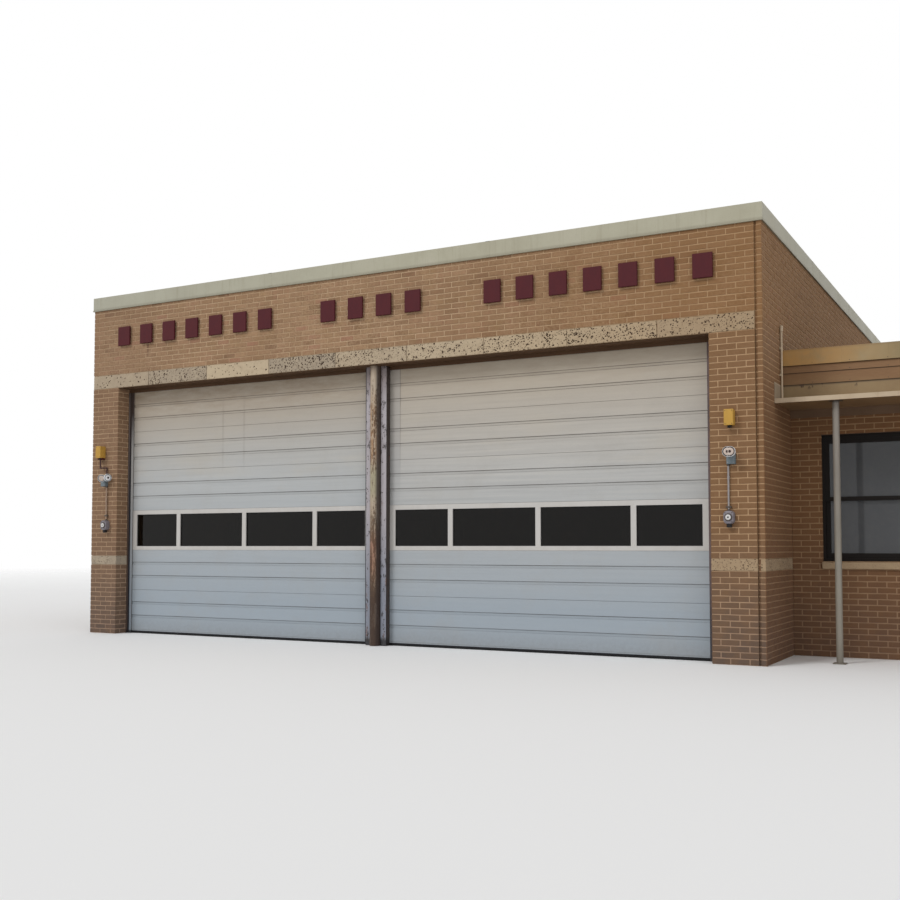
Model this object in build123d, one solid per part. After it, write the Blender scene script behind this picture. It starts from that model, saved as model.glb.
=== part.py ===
from build123d import *
import os

# All lengths are in millimetres. While it is modelled, the building has its
# left front corner at X = 0, Y = 0; X runs along the front, Y goes back, Z is up.

# Brickwork: one course and one brick, each with its mortar joint
COURSE = 69.85
BRICK_PITCH = 215.9
MORTAR = 12.7

# Heights of the engine bay, in courses or millimetres above the ground
STONE_BASE_COURSES = 15
STONE_COURSES = 2
LINTEL_COURSES = 54
BAND_COURSES = 3
BAY_WALL_TOP = 5010.0

# Plan of the engine bay
WALL = 254.0
PIER_BRICKS = 2.5
QUIRK_WIDTH = 30.0
QUIRK_DEPTH = 40.0
STONE_FACING = 58.0
BAY_DEPTH = 12192.0
FLOOR_TOP = 50.0
SEAM = 0.5

# Flat roof and sheet metal edge of the engine bay
ROOF_SLAB = 120.0
EDGE_HEIGHT = 200.0
EDGE_STAND = 20.0
EDGE_CURB = 100.0
EDGE_LAP = 10.0
EDGE_CHAMFER = 12.0
EDGE_LIP = 6.0
EDGE_LIP_HEIGHT = 14.0

# Overhead doors: six sections each, the third with windows
DOOR_WIDTH = 4572.0
DOOR_PARTING = 98.0
DOOR_LAP = 26.775
DOOR_GAP = 8.0
DOOR_BASE = 54.0
SEAL_HEIGHT = 35.0
SECTION_HEIGHT = 609.6
SECTION_COUNT = 6
WINDOW_SECTION = 2
TOP_LAP = 45.0
PANEL_THICKNESS = 50.0
RIB_COUNT = 2
RIB_HEIGHT = 36.0
RIB_DEPTH = 8.0
RIB_BEVEL = 4.0
TONGUE_WIDTH = 16.0
TONGUE_HEIGHT = 12.0
TONGUE_PLAY = 0.5
SECTION_BEVEL = 3.0
BOTTOM_RAIL = 58.0
TOP_RAIL = 64.0
MULLION = 70.0
END_STILE = 191.0
OUTER_LIGHT = 807.0
GLASS_THICKNESS = 6.0
GLASS_SEAT = 12.0
GLASS_SETBACK = 22.0
SEAL_ROUND = 14.0

# Steelwork of the door opening
COLUMN_DIAMETER = 141.3
COLUMN_Y = 140.0
JAMB_WIDTH = 320.0
JAMB_FRONT = 160.0
JAMB_LIP = 85.0
STEEL = 8.0
PIER_JAMB_LEG = 30.0
PIER_JAMB_WIDTH = 88.0
LINTEL_SETBACK = 20.0
LINTEL_DROP = 48.0
TRACK_LEG = 57.0
TRACK_DEPTH = 80.0
TRACK_CLEARANCE = 0.5
POST_CLEARANCE = 0.5
POST_DEPTH = 90.0

# Raised plain tablets over the doors, in three groups
TABLET_WIDTH = 235.0
TABLET_HEIGHT = 290.0
TABLET_THICKNESS = 26.0
TABLET_CHAMFER = 5.0
TABLET_PITCH = 450.0
TABLET_PIN = 16.0
TABLET_PIN_RADIUS = 8.0
TABLET_PIN_SPREAD = 160.0
TABLET_RISE = 61.0
TABLET_LEFT_GROUP = 3111.0
TABLET_RIGHT_GROUP = 3192.0
TABLET_COUNTS = (7, 4, 7)

# Fittings on the piers: yellow box, twin lamp, conduit and key switch
BOX_WIDTH = 105.0
BOX_DEPTH = 110.0
BOX_HEIGHT = 182.0
BOX_Z = 2780.0
BOX_EDGE = 6.0
BOX_GLAND_RADIUS = 24.0
BOX_GLAND_LENGTH = 26.0
LAMP_Z = 2386.0
LAMP_RADIUS = 58.0
LAMP_LENGTH = 120.0
LAMP_LENS_BULGE = 7.0
LAMP_NECK_RADIUS = 22.0
LAMP_NECK_LENGTH = 36.0
LAMP_FLARE_LENGTH = 50.0
LAMP_STAND = 50.0
LAMP_OFFSET = 50.0
LAMP_AIM = {"left": (14.0, 62.0), "right": (8.0, -2.0)}
LAMP_BOX_WIDTH = 96.0
LAMP_BOX_HEIGHT = 104.0
LAMP_BOX_DEPTH = 60.0
CONDUIT_RADIUS = 10.7
CONDUIT_STAND = 18.0
CONDUIT_BEND_Z = 2536.0
SWITCH_WIDTH = 116.0
SWITCH_HEIGHT = 146.0
SWITCH_DEPTH = 78.0
SWITCH_Z = 1653.0
SWITCH_CORNER = 40.0
SWITCH_GLAND_RADIUS = 30.0
SWITCH_GLAND_LENGTH = 42.0
DIAL_RADIUS = 31.0
DIAL_HEIGHT = 18.0
COLLAR_RADIUS = 44.0
COLLAR_HEIGHT = 8.0

# Where the fittings sit, from the middle of each pier
BOX_SHIFT = {"left": -38.0, "right": -19.0}
LAMP_SHIFT = {"left": 26.0, "right": -12.0}
SWITCH_SHIFT = {"left": 60.0, "right": -40.0}
CONDUIT_SHIFT = {"left": 62.0, "right": -49.0}

# Double-hung windows
WINDOW_WIDTH = 1270.0
WINDOW_COURSES = 22
WINDOW_REVEAL = 62.0
FRAME_FACE = 35.0
FRAME_DEPTH = 100.0
FRAME_HEAD = 60.0
SASH_FACE = 50.0
SASH_RAIL = 62.0
SASH_DEPTH = 34.0
SASH_OFFSET = 10.0
MEETING_Z = 755.0
PANE_THICKNESS = 5.0
SILL_HEIGHT = 90.0
SILL_NOSE = 32.0
SILL_FALL = 12.0
WING_SILL_Z = 1147.0
LEFT_WINDOW_PITCH = 3600.0
LEFT_WINDOW_COUNT = 3
REAR_WINDOW_PITCH = 4800.0
REAR_WINDOW_COUNT = 2
END_WINDOW_PITCH = 3600.0
END_WINDOW_COUNT = 2

# Side wing
WING_SETBACK = 1460.0
WING_DEPTH = 7300.0
WING_WALL_TOP = 3450.0
WING_WINDOW_COUNT = 3
WING_WINDOW_PITCH = 2200.0
WING_WINDOW_EDGE = 350.0
WING_ROOF_SLAB = 120.0

# Layered edge of the wing roof: sheet coping, two siding boards, frieze board
WING_EDGE_Y = 1000.0
WING_EDGE_TOP = 3670.0
COPING_BOTTOM = 3480.0
SIDING_JOINT = 3390.0
SIDING_BOTTOM = 3250.0
BOARD = 25.0
COPING_STAND = 14.0
COPING_RETURN = 90.0
SIDING_LAP = 10.0

# Canopy slab along the wing, and its posts
CANOPY_FRONT = 555.0
CANOPY_BOTTOM = 2988.0
CANOPY_TOP = 3043.0
CANOPY_LIP = 60.0
CANOPY_RECESS = 10.0
POST_DIAMETER = 76.0
POST_Y = 690.0
POST_COUNT = 3
POST_EDGE = 657.0
PLATE_SIDE = 140.0
PLATE_THICKNESS = 10.0
TRIM_HEIGHT = 100.0
TRIM_THICKNESS = 30.0
FLASHING_HEIGHT = 195.0
FLASHING_THICKNESS = 4.0

# Service conduit on the side wall, above the canopy
SERVICE_RADIUS = 13.0
SERVICE_STAND = 20.0
SERVICE_Y = 880.0
SERVICE_TOP = 3950.0
SERVICE_CAP_RADIUS = 19.5
SERVICE_CAP_HEIGHT = 70.0
STRAP_WIDTH = 52.0
STRAP_SHARES = (0.35, 0.7)

# Sizes worked out from those above
PIER_WIDTH = PIER_BRICKS * BRICK_PITCH - MORTAR
DOOR_SPREAD = DOOR_WIDTH + DOOR_PARTING
OPENING_WIDTH = DOOR_SPREAD + DOOR_WIDTH - 2 * DOOR_LAP
LIGHTS_HALF = DOOR_WIDTH / 2 - END_STILE
MULLION_PITCH = LIGHTS_HALF - OUTER_LIGHT - MULLION / 2
OPENING_LEFT = PIER_WIDTH
OPENING_RIGHT = OPENING_LEFT + OPENING_WIDTH
OPENING_CENTRE = OPENING_LEFT + OPENING_WIDTH / 2
FACE_RIGHT = OPENING_RIGHT + PIER_WIDTH
BAY_WIDTH = FACE_RIGHT + QUIRK_WIDTH + STONE_FACING
STONE_LOW = STONE_BASE_COURSES * COURSE
STONE_HIGH = STONE_LOW + STONE_COURSES * COURSE
LINTEL_Z = LINTEL_COURSES * COURSE
BAND_TOP = LINTEL_Z + BAND_COURSES * COURSE
SOFFIT_Z = LINTEL_Z - STEEL
DOOR_FRONT = WALL + DOOR_GAP
DOOR_BACK = DOOR_FRONT + PANEL_THICKNESS
TABLET_CENTRE_Z = (BAND_TOP + BAY_WALL_TOP) / 2 + TABLET_RISE
WINDOW_HEIGHT = WINDOW_COURSES * COURSE
WING_LENGTH = 2 * WING_WINDOW_EDGE + WINDOW_WIDTH + (WING_WINDOW_COUNT - 1) * WING_WINDOW_PITCH
WING_RIGHT = BAY_WIDTH + WING_LENGTH
WING_REAR = WING_SETBACK + WING_DEPTH
JAMB_LEFT = OPENING_CENTRE - JAMB_WIDTH / 2
JAMB_RIGHT = OPENING_CENTRE + JAMB_WIDTH / 2
DOOR_CENTRES = {"left": OPENING_CENTRE - DOOR_SPREAD / 2, "right": OPENING_CENTRE + DOOR_SPREAD / 2}
PIER_CENTRES = {"left": PIER_WIDTH / 2, "right": OPENING_RIGHT + PIER_WIDTH / 2}
BOX_X = {side: PIER_CENTRES[side] + BOX_SHIFT[side] for side in PIER_CENTRES}
LAMP_X = {side: PIER_CENTRES[side] + LAMP_SHIFT[side] for side in PIER_CENTRES}
SWITCH_X = {side: PIER_CENTRES[side] + SWITCH_SHIFT[side] for side in PIER_CENTRES}
CONDUIT_X = {side: PIER_CENTRES[side] + CONDUIT_SHIFT[side] for side in PIER_CENTRES}
LAMP_BOX_LOW = LAMP_Z - LAMP_RADIUS / 2 - LAMP_BOX_HEIGHT

# Which way a wall faces, as a turn about Z of a piece drawn for the front
FACES_FRONT, FACES_RIGHT, FACES_REAR, FACES_LEFT = 0, 90, 180, -90


def block(x, y, z):
    """A box from three (low, high) pairs."""
    corner = (Align.MIN, Align.MIN, Align.MIN)
    return Pos(x[0], y[0], z[0]) * Box(x[1] - x[0], y[1] - y[0], z[1] - z[0], align=corner)


def plan(points, low, high):
    """A plan outline in X and Y, raised from low to high."""
    face = make_face(Polyline(*points, close=True))
    return Pos(0, 0, low) * extrude(face, high - low, dir=(0, 0, 1))


def profile_run(points, start, length):
    """A Y-Z profile carried along X."""
    face = make_face(Polyline(*[(start, y, z) for y, z in points], close=True))
    return extrude(face, length, dir=(1, 0, 0))


def upright(x, y, radius, low, high):
    base = (Align.CENTER, Align.CENTER, Align.MIN)
    return Pos(x, y, low) * Cylinder(radius, high - low, align=base)


def row(count, pitch):
    """Places of count things about zero."""
    return [(i - (count - 1) / 2) * pitch for i in range(count)]


def together(solids):
    return Compound(list(solids))


# Stone

def pier_stones():
    high = (STONE_LOW, STONE_HIGH)
    left = block((0, PIER_WIDTH), (0, WALL), high)
    right = block((OPENING_RIGHT, FACE_RIGHT), (0, WALL), high)
    return [left, right]


def stone_course():
    """The stone course round the left, rear and exposed right walls."""
    high = (STONE_LOW, STONE_HIGH)
    back = BAY_DEPTH - STONE_FACING
    left = block((0, STONE_FACING), (WALL, back - SEAM), high)
    rear = block((0, BAY_WIDTH), (back, BAY_DEPTH), high)
    right = block((BAY_WIDTH - STONE_FACING, BAY_WIDTH), (0, WING_SETBACK), high)
    far = block((BAY_WIDTH - STONE_FACING, BAY_WIDTH), (WING_REAR, back - SEAM), high)
    return [left, rear, right, far]


def stone_band():
    return block((0, FACE_RIGHT), (0, WALL), (LINTEL_Z, BAND_TOP))


# Windows, drawn for the front with the sill's middle at the origin

def window_hole():
    half = WINDOW_WIDTH / 2
    return block((-half, half), (-WALL, 2 * WALL), (0, WINDOW_HEIGHT))


def ring(width, low, high, y, depth, sides, foot, head):
    """A rectangular frame standing in the wall, with its own sides, foot and head."""
    half = width / 2
    outer = block((-half, half), (y, y + depth), (low, high))
    inner = block((sides - half, half - sides), (y, y + depth), (low + foot, high - head))
    return outer - inner


def window_frame():
    """A double-hung window: the frame, the upper sash and the lower one behind it."""
    inside = WINDOW_WIDTH - 2 * FRAME_FACE
    upper_y = WINDOW_REVEAL + SASH_OFFSET
    lower_y = upper_y + SASH_DEPTH
    frame = ring(WINDOW_WIDTH, 0, WINDOW_HEIGHT, WINDOW_REVEAL, FRAME_DEPTH,
                 FRAME_FACE, FRAME_FACE, FRAME_HEAD)
    top = WINDOW_HEIGHT - FRAME_HEAD
    meeting = MEETING_Z - SASH_FACE / 2
    upper = ring(inside, meeting, top, upper_y, SASH_DEPTH, SASH_FACE, SASH_FACE, SASH_FACE)
    lower = ring(inside, FRAME_FACE, meeting + SASH_FACE, lower_y, SASH_DEPTH,
                 SASH_FACE, SASH_RAIL, SASH_FACE)
    return frame + upper + lower


def window_panes():
    half = WINDOW_WIDTH / 2 - FRAME_FACE - SASH_FACE
    upper_y = WINDOW_REVEAL + SASH_OFFSET + (SASH_DEPTH - PANE_THICKNESS) / 2
    lower_y = upper_y + SASH_DEPTH
    meeting = MEETING_Z - SASH_FACE / 2
    top = WINDOW_HEIGHT - FRAME_HEAD - SASH_FACE
    upper = block((-half, half), (upper_y, upper_y + PANE_THICKNESS), (meeting + SASH_FACE, top))
    bottom = FRAME_FACE + SASH_RAIL
    lower = block((-half, half), (lower_y, lower_y + PANE_THICKNESS), (bottom, meeting))
    return [upper, lower]


def window_sill():
    """A stone sill with a sloping top in front of the frame."""
    back = WINDOW_REVEAL + FRAME_DEPTH
    points = [(-SILL_NOSE, -SILL_HEIGHT), (back, -SILL_HEIGHT), (back, 0),
              (WINDOW_REVEAL, 0), (-SILL_NOSE, -SILL_FALL)]
    return profile_run(points, -WINDOW_WIDTH / 2, WINDOW_WIDTH)


def wing_places():
    """Places of the wing's windows: front, end and rear."""
    middle = BAY_WIDTH + WING_LENGTH / 2
    along = row(WING_WINDOW_COUNT, WING_WINDOW_PITCH)
    centre = WING_SETBACK + WING_DEPTH / 2
    front = [Pos(middle + d, WING_SETBACK, WING_SILL_Z) * Rot(0, 0, FACES_FRONT) for d in along]
    end = [Pos(WING_RIGHT, centre + d, WING_SILL_Z) * Rot(0, 0, FACES_RIGHT)
           for d in row(END_WINDOW_COUNT, END_WINDOW_PITCH)]
    rear = [Pos(middle + d, WING_REAR, WING_SILL_Z) * Rot(0, 0, FACES_REAR) for d in along]
    return {"front": front, "end": end, "rear": rear}


def bay_places():
    """Places of the engine bay's windows, which stand on the stone course."""
    left = [Pos(0, BAY_DEPTH / 2 + d, STONE_HIGH) * Rot(0, 0, FACES_LEFT)
            for d in row(LEFT_WINDOW_COUNT, LEFT_WINDOW_PITCH)]
    rear = [Pos(BAY_WIDTH / 2 + d, BAY_DEPTH, STONE_HIGH) * Rot(0, 0, FACES_REAR)
            for d in row(REAR_WINDOW_COUNT, REAR_WINDOW_PITCH)]
    return {"left": left, "rear": rear}


def pierce(wall, places):
    """Cut a window opening through the wall at each place."""
    for place in places:
        wall -= place * window_hole()
    return wall


# Brick walls

def pier(x):
    lower = block(x, (0, WALL), (0, STONE_LOW))
    upper = block(x, (0, WALL), (STONE_HIGH, LINTEL_Z))
    return [lower, upper]


def upper_front_wall():
    return block((0, FACE_RIGHT), (0, WALL), (BAND_TOP, BAY_WALL_TOP))


def left_wall(stones, places):
    wall = block((0, WALL), (WALL, BAY_DEPTH - WALL), (0, BAY_WALL_TOP))
    return pierce(wall, places) - stones[0]


def rear_wall(stones, places):
    wall = block((0, BAY_WIDTH), (BAY_DEPTH - WALL, BAY_DEPTH), (0, BAY_WALL_TOP))
    for stone in stones:
        wall -= stone
    return pierce(wall, places)


def right_wall(stones):
    """The side wall, whose edge shows beside a narrow recess at the pier."""
    strip = BAY_WIDTH - STONE_FACING
    inner = BAY_WIDTH - WALL
    outline = [(strip, 0), (BAY_WIDTH, 0), (BAY_WIDTH, BAY_DEPTH - WALL),
               (inner, BAY_DEPTH - WALL), (inner, WALL), (FACE_RIGHT, WALL),
               (FACE_RIGHT, QUIRK_DEPTH), (strip, QUIRK_DEPTH)]
    wall = plan(outline, 0, BAY_WALL_TOP)
    for stone in stones:
        wall -= stone
    return wall


def wing_wall(x, y, places, sills=True):
    wall = block(x, y, (0, WING_WALL_TOP))
    wall = pierce(wall, places)
    if sills:
        for place in places:
            wall -= place * window_sill()
    return wall


# Roof edges

def mitred(run, length, start, end):
    """Cut the ends of a run along X at 45 degrees for an outside corner."""
    half_seam = SEAM / 2
    if start:
        cut = Plane(origin=(half_seam, 0, 0), z_dir=(1, -1, 0))
        run = split(run, bisect_by=cut, keep=Keep.TOP)
    if end:
        cut = Plane(origin=(length - half_seam, 0, 0), z_dir=(-1, -1, 0))
        run = split(run, bisect_by=cut, keep=Keep.TOP)
    return run


def edge_run(points, length, start=True, end=True):
    """A roof edge along X, outer side towards -Y, mitred where asked."""
    reach = max(abs(y) for y, z in points) + SEAM
    low = -reach if start else 0
    high = length + reach if end else length
    return mitred(profile_run(points, low, high - low), length, start, end)


def bay_edge():
    """The sheet metal edge of the engine bay's roof with its drip lip, one piece a side."""
    bottom = BAY_WALL_TOP - EDGE_LAP
    deck = BAY_WALL_TOP + ROOF_SLAB
    top = BAY_WALL_TOP + EDGE_HEIGHT
    face = EDGE_LIP - EDGE_STAND
    lip = bottom + EDGE_LIP_HEIGHT
    points = [(-EDGE_STAND, bottom), (0, bottom), (0, deck), (EDGE_CURB, deck),
              (EDGE_CURB, top - EDGE_CHAMFER), (EDGE_CURB - EDGE_CHAMFER, top), (face, top),
              (face, lip + EDGE_LIP), (-EDGE_STAND, lip)]
    return [edge_run(points, BAY_WIDTH),
            Pos(BAY_WIDTH, 0, 0) * Rot(0, 0, FACES_RIGHT) * edge_run(points, BAY_DEPTH),
            Pos(BAY_WIDTH, BAY_DEPTH, 0) * Rot(0, 0, FACES_REAR) * edge_run(points, BAY_WIDTH),
            Pos(0, BAY_DEPTH, 0) * Rot(0, 0, FACES_LEFT) * edge_run(points, BAY_DEPTH)]


def wing_edge(points):
    """A roof edge on the front, end and rear of the wing."""
    depth = WING_REAR - WING_EDGE_Y - BOARD
    front = Pos(BAY_WIDTH, WING_EDGE_Y + BOARD, 0) * edge_run(points, WING_LENGTH, start=False)
    end = Pos(WING_RIGHT, WING_EDGE_Y + BOARD, 0) * Rot(0, 0, FACES_RIGHT) * edge_run(points, depth)
    rear = Pos(WING_RIGHT, WING_REAR, 0) * Rot(0, 0, FACES_REAR)
    return [front, end, rear * edge_run(points, WING_LENGTH, end=False)]


def wing_coping():
    face = BOARD + COPING_STAND
    deck = WING_WALL_TOP + WING_ROOF_SLAB
    return wing_edge([(-face, COPING_BOTTOM), (0, COPING_BOTTOM), (0, deck), (COPING_RETURN, deck),
                      (COPING_RETURN, WING_EDGE_TOP), (-face, WING_EDGE_TOP)])


def siding_board(low, high):
    """A lapped board, thicker at its lower edge."""
    return wing_edge([(-BOARD, low), (0, low), (0, high), (SIDING_LAP - BOARD, high)])


def wing_siding():
    return siding_board(SIDING_JOINT, COPING_BOTTOM) + siding_board(SIDING_BOTTOM, SIDING_JOINT - SEAM)


def wing_frieze():
    """The frieze board, and the flashing plate on the side wall that runs forward from it."""
    low, high = CANOPY_TOP, SIDING_BOTTOM
    boards = wing_edge([(SIDING_LAP - BOARD, low), (0, low), (0, high), (SIDING_LAP - BOARD, high)])
    plate = block((BAY_WIDTH, BAY_WIDTH + FLASHING_THICKNESS), (CANOPY_FRONT, WING_EDGE_Y + SIDING_LAP),
                  (low, low + FLASHING_HEIGHT))
    return boards + [plate]


# Canopy

def canopy_slab():
    slab = block((BAY_WIDTH, WING_RIGHT), (CANOPY_FRONT, WING_SETBACK), (CANOPY_BOTTOM, CANOPY_TOP))
    inner_x = (BAY_WIDTH, WING_RIGHT - CANOPY_LIP)
    inner_y = (CANOPY_FRONT + CANOPY_LIP, WING_SETBACK)
    return slab - block(inner_x, inner_y, (CANOPY_BOTTOM, CANOPY_BOTTOM + CANOPY_RECESS))


def canopy_posts():
    """Round posts with a plate at each end."""
    span = WING_LENGTH - 2 * POST_EDGE
    top = CANOPY_BOTTOM + CANOPY_RECESS
    half = PLATE_SIDE / 2
    posts = []
    for d in row(POST_COUNT, span / (POST_COUNT - 1)):
        x = BAY_WIDTH + WING_LENGTH / 2 + d
        sides = (x - half, x + half), (POST_Y - half, POST_Y + half)
        foot = block(*sides, (0, PLATE_THICKNESS))
        head = block(*sides, (top - PLATE_THICKNESS, top))
        posts.append(upright(x, POST_Y, POST_DIAMETER / 2, 0, top) + foot + head)
    return posts


def soffit_trim():
    top = CANOPY_BOTTOM + CANOPY_RECESS
    y = (WING_SETBACK - TRIM_THICKNESS, WING_SETBACK)
    return block((BAY_WIDTH, WING_RIGHT - CANOPY_LIP), y, (top - TRIM_HEIGHT, top))


# Steelwork of the door opening

def centre_column():
    return upright(OPENING_CENTRE, COLUMN_Y, COLUMN_DIAMETER / 2, 0, SOFFIT_Z)


def centre_jamb():
    """A lipped channel, open to the front round the column."""
    back = WALL
    inner = JAMB_FRONT + STEEL
    left, right = JAMB_LEFT, JAMB_RIGHT
    outline = [(left, JAMB_FRONT), (left + JAMB_LIP, JAMB_FRONT), (left + JAMB_LIP, inner),
               (left + STEEL, inner), (left + STEEL, back - STEEL), (right - STEEL, back - STEEL),
               (right - STEEL, inner), (right - JAMB_LIP, inner), (right - JAMB_LIP, JAMB_FRONT),
               (right, JAMB_FRONT), (right, back), (left, back)]
    return plan(outline, 0, SOFFIT_Z)


def centre_post():
    """The post behind the channel, between the two doors."""
    edge = DOOR_PARTING / 2 - POST_CLEARANCE
    x = (OPENING_CENTRE - edge, OPENING_CENTRE + edge)
    return block(x, (WALL, WALL + POST_DEPTH), (0, SOFFIT_Z))


def pier_jambs():
    """Steel angles at the back of each brick reveal, one leg across the door's end."""
    back, front = WALL, WALL - PIER_JAMB_LEG
    jambs = []
    for edge, way in ((OPENING_LEFT, 1), (OPENING_RIGHT, -1)):
        thin, wide = edge + way * STEEL, edge + way * PIER_JAMB_WIDTH
        outline = [(edge, front), (thin, front), (thin, back - STEEL), (wide, back - STEEL),
                   (wide, back), (edge, back)]
        jambs.append(plan(outline, 0, SOFFIT_Z - LINTEL_DROP))
    return jambs


def door_lintel():
    """A steel angle under the stone band; its leg hides the tops of the doors."""
    points = [(LINTEL_SETBACK, SOFFIT_Z), (WALL - STEEL, SOFFIT_Z), (WALL - STEEL, SOFFIT_Z - LINTEL_DROP),
              (WALL, SOFFIT_Z - LINTEL_DROP), (WALL, LINTEL_Z), (LINTEL_SETBACK, LINTEL_Z)]
    angle = profile_run(points, OPENING_LEFT, OPENING_WIDTH)
    notch_x = (JAMB_LEFT - SEAM, JAMB_RIGHT + SEAM)
    return angle - block(notch_x, (0, WALL), (SOFFIT_Z - LINTEL_DROP, SOFFIT_Z))


def door_tracks():
    """A vertical angle at the pier end of each door."""
    left_end = DOOR_CENTRES["left"] - DOOR_WIDTH / 2 - TRACK_CLEARANCE
    right_end = DOOR_CENTRES["right"] + DOOR_WIDTH / 2 + TRACK_CLEARANCE
    tracks = []
    for edge, side in ((left_end, -1), (right_end, 1)):
        outer = edge + side * TRACK_LEG
        inner = edge + side * STEEL
        outline = [(edge, WALL), (outer, WALL), (outer, WALL + STEEL), (inner, WALL + STEEL),
                   (inner, WALL + TRACK_DEPTH), (edge, WALL + TRACK_DEPTH)]
        tracks.append(plan(outline, 0, SOFFIT_Z))
    return tracks


# Overhead doors

def rib_points(low):
    """The front of one section's ribs, from the bottom up."""
    points = []
    for i in range(1, RIB_COUNT + 1):
        centre = low + i * SECTION_HEIGHT / (RIB_COUNT + 1)
        half = RIB_HEIGHT / 2
        deep = DOOR_FRONT + RIB_DEPTH
        points += [(DOOR_FRONT, centre - half), (deep, centre - half + RIB_BEVEL),
                   (deep, centre + half - RIB_BEVEL), (DOOR_FRONT, centre + half)]
    return points


def section_profile(low, high, ribs, groove, tongue):
    """A door section's outline, with a tongue above and a groove below."""
    middle = (DOOR_FRONT + DOOR_BACK) / 2
    half = TONGUE_WIDTH / 2
    points = [(DOOR_FRONT + SECTION_BEVEL, low), (DOOR_FRONT, low + SECTION_BEVEL)]
    points += ribs
    points += [(DOOR_FRONT, high - SECTION_BEVEL), (DOOR_FRONT + SECTION_BEVEL, high)]
    if tongue:
        points += [(middle - half, high), (middle - half, high + TONGUE_HEIGHT),
                   (middle + half, high + TONGUE_HEIGHT), (middle + half, high)]
    points += [(DOOR_BACK, high), (DOOR_BACK, low)]
    if groove:
        wide = half + TONGUE_PLAY
        deep = low + TONGUE_HEIGHT
        points += [(middle + wide, low), (middle + wide, deep), (middle - wide, deep), (middle - wide, low)]
    return points


def door_section(centre, index):
    joint = DOOR_BASE + index * SECTION_HEIGHT
    top = index == SECTION_COUNT - 1
    low = joint if index > 0 else SEAL_HEIGHT
    high = joint + SECTION_HEIGHT + (TOP_LAP if top else -SEAM)
    ribs = [] if index == WINDOW_SECTION else rib_points(joint)
    points = section_profile(low, high, ribs, groove=index > 0, tongue=not top)
    return profile_run(points, centre - DOOR_WIDTH / 2, DOOR_WIDTH)


def door_panels(centre):
    return [door_section(centre, i) for i in range(SECTION_COUNT) if i != WINDOW_SECTION]


def light_spans():
    """Left and right ends of the four lights, about the door's middle."""
    mullions = [-LIGHTS_HALF - MULLION / 2] + [i * MULLION_PITCH for i in (-1, 0, 1)]
    mullions.append(LIGHTS_HALF + MULLION / 2)
    return [(a + MULLION / 2, b - MULLION / 2) for a, b in zip(mullions, mullions[1:])]


def light_heights(grow=0.0):
    low = DOOR_BASE + WINDOW_SECTION * SECTION_HEIGHT
    return (low + BOTTOM_RAIL - grow, low + SECTION_HEIGHT - TOP_RAIL + grow)


def door_window_section(centre):
    """The glazed section: daylight openings, each with a seat for its glass."""
    section = door_section(centre, WINDOW_SECTION)
    seat_y = (DOOR_FRONT + GLASS_SETBACK, DOOR_BACK)
    for a, b in light_spans():
        a, b = centre + a, centre + b
        section -= block((a, b), (DOOR_FRONT, DOOR_BACK), light_heights())
        section -= block((a - GLASS_SEAT, b + GLASS_SEAT), seat_y, light_heights(GLASS_SEAT))
    return section


def door_glass(centre):
    y = (DOOR_FRONT + GLASS_SETBACK, DOOR_FRONT + GLASS_SETBACK + GLASS_THICKNESS)
    panes = []
    for a, b in light_spans():
        x = (centre + a - GLASS_SEAT, centre + b + GLASS_SEAT)
        panes.append(block(x, y, light_heights(GLASS_SEAT)))
    return panes


def door_seal(centre):
    """The rubber under a door, rounded where it meets the ground."""
    half = DOOR_WIDTH / 2
    strip = block((centre - half, centre + half), (DOOR_FRONT, DOOR_BACK), (0, SEAL_HEIGHT))
    lower = strip.edges().filter_by(Axis.X).sort_by(Axis.Z)[:2]
    return chamfer(lower, SEAL_ROUND)


# Fittings on the front

def tablet(x):
    """A plain raised plate on two pins."""
    back = -TABLET_PIN
    half_w, half_h = TABLET_WIDTH / 2, TABLET_HEIGHT / 2
    z = (TABLET_CENTRE_Z - half_h, TABLET_CENTRE_Z + half_h)
    plate = block((x - half_w, x + half_w), (back - TABLET_THICKNESS, back), z)
    plate = chamfer(plate.faces().sort_by(Axis.Y)[0].edges(), TABLET_CHAMFER)
    for d in row(2, TABLET_PIN_SPREAD):
        pin = Cylinder(TABLET_PIN_RADIUS, TABLET_PIN, align=(Align.CENTER, Align.CENTER, Align.MIN))
        plate += Pos(x, 0, TABLET_CENTRE_Z + d) * Rot(90, 0, 0) * pin
    return plate


def sign_tablets():
    groups = zip((-TABLET_LEFT_GROUP, 0, TABLET_RIGHT_GROUP), TABLET_COUNTS)
    return [tablet(OPENING_CENTRE + shift + d) for shift, count in groups for d in row(count, TABLET_PITCH)]


def alarm_box(x):
    low, high = BOX_Z - BOX_HEIGHT / 2, BOX_Z + BOX_HEIGHT / 2
    box = block((x - BOX_WIDTH / 2, x + BOX_WIDTH / 2), (-BOX_DEPTH, 0), (low, high))
    box = chamfer(box.faces().sort_by(Axis.Y)[0].edges(), BOX_EDGE)
    return box + upright(x, -BOX_DEPTH / 2, BOX_GLAND_RADIUS, low - BOX_GLAND_LENGTH, low)


def lamp_head():
    """A flared lamp head along +Z, turned about its axis."""
    flared = LAMP_NECK_LENGTH + LAMP_FLARE_LENGTH
    outline = Polyline((0, 0), (LAMP_NECK_RADIUS, 0), (LAMP_NECK_RADIUS, LAMP_NECK_LENGTH),
                       (LAMP_RADIUS, flared), (LAMP_RADIUS, LAMP_LENGTH),
                       (0, LAMP_LENGTH + LAMP_LENS_BULGE), close=True)
    return revolve(Plane.XZ * make_face(outline), Axis.Z)


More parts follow.
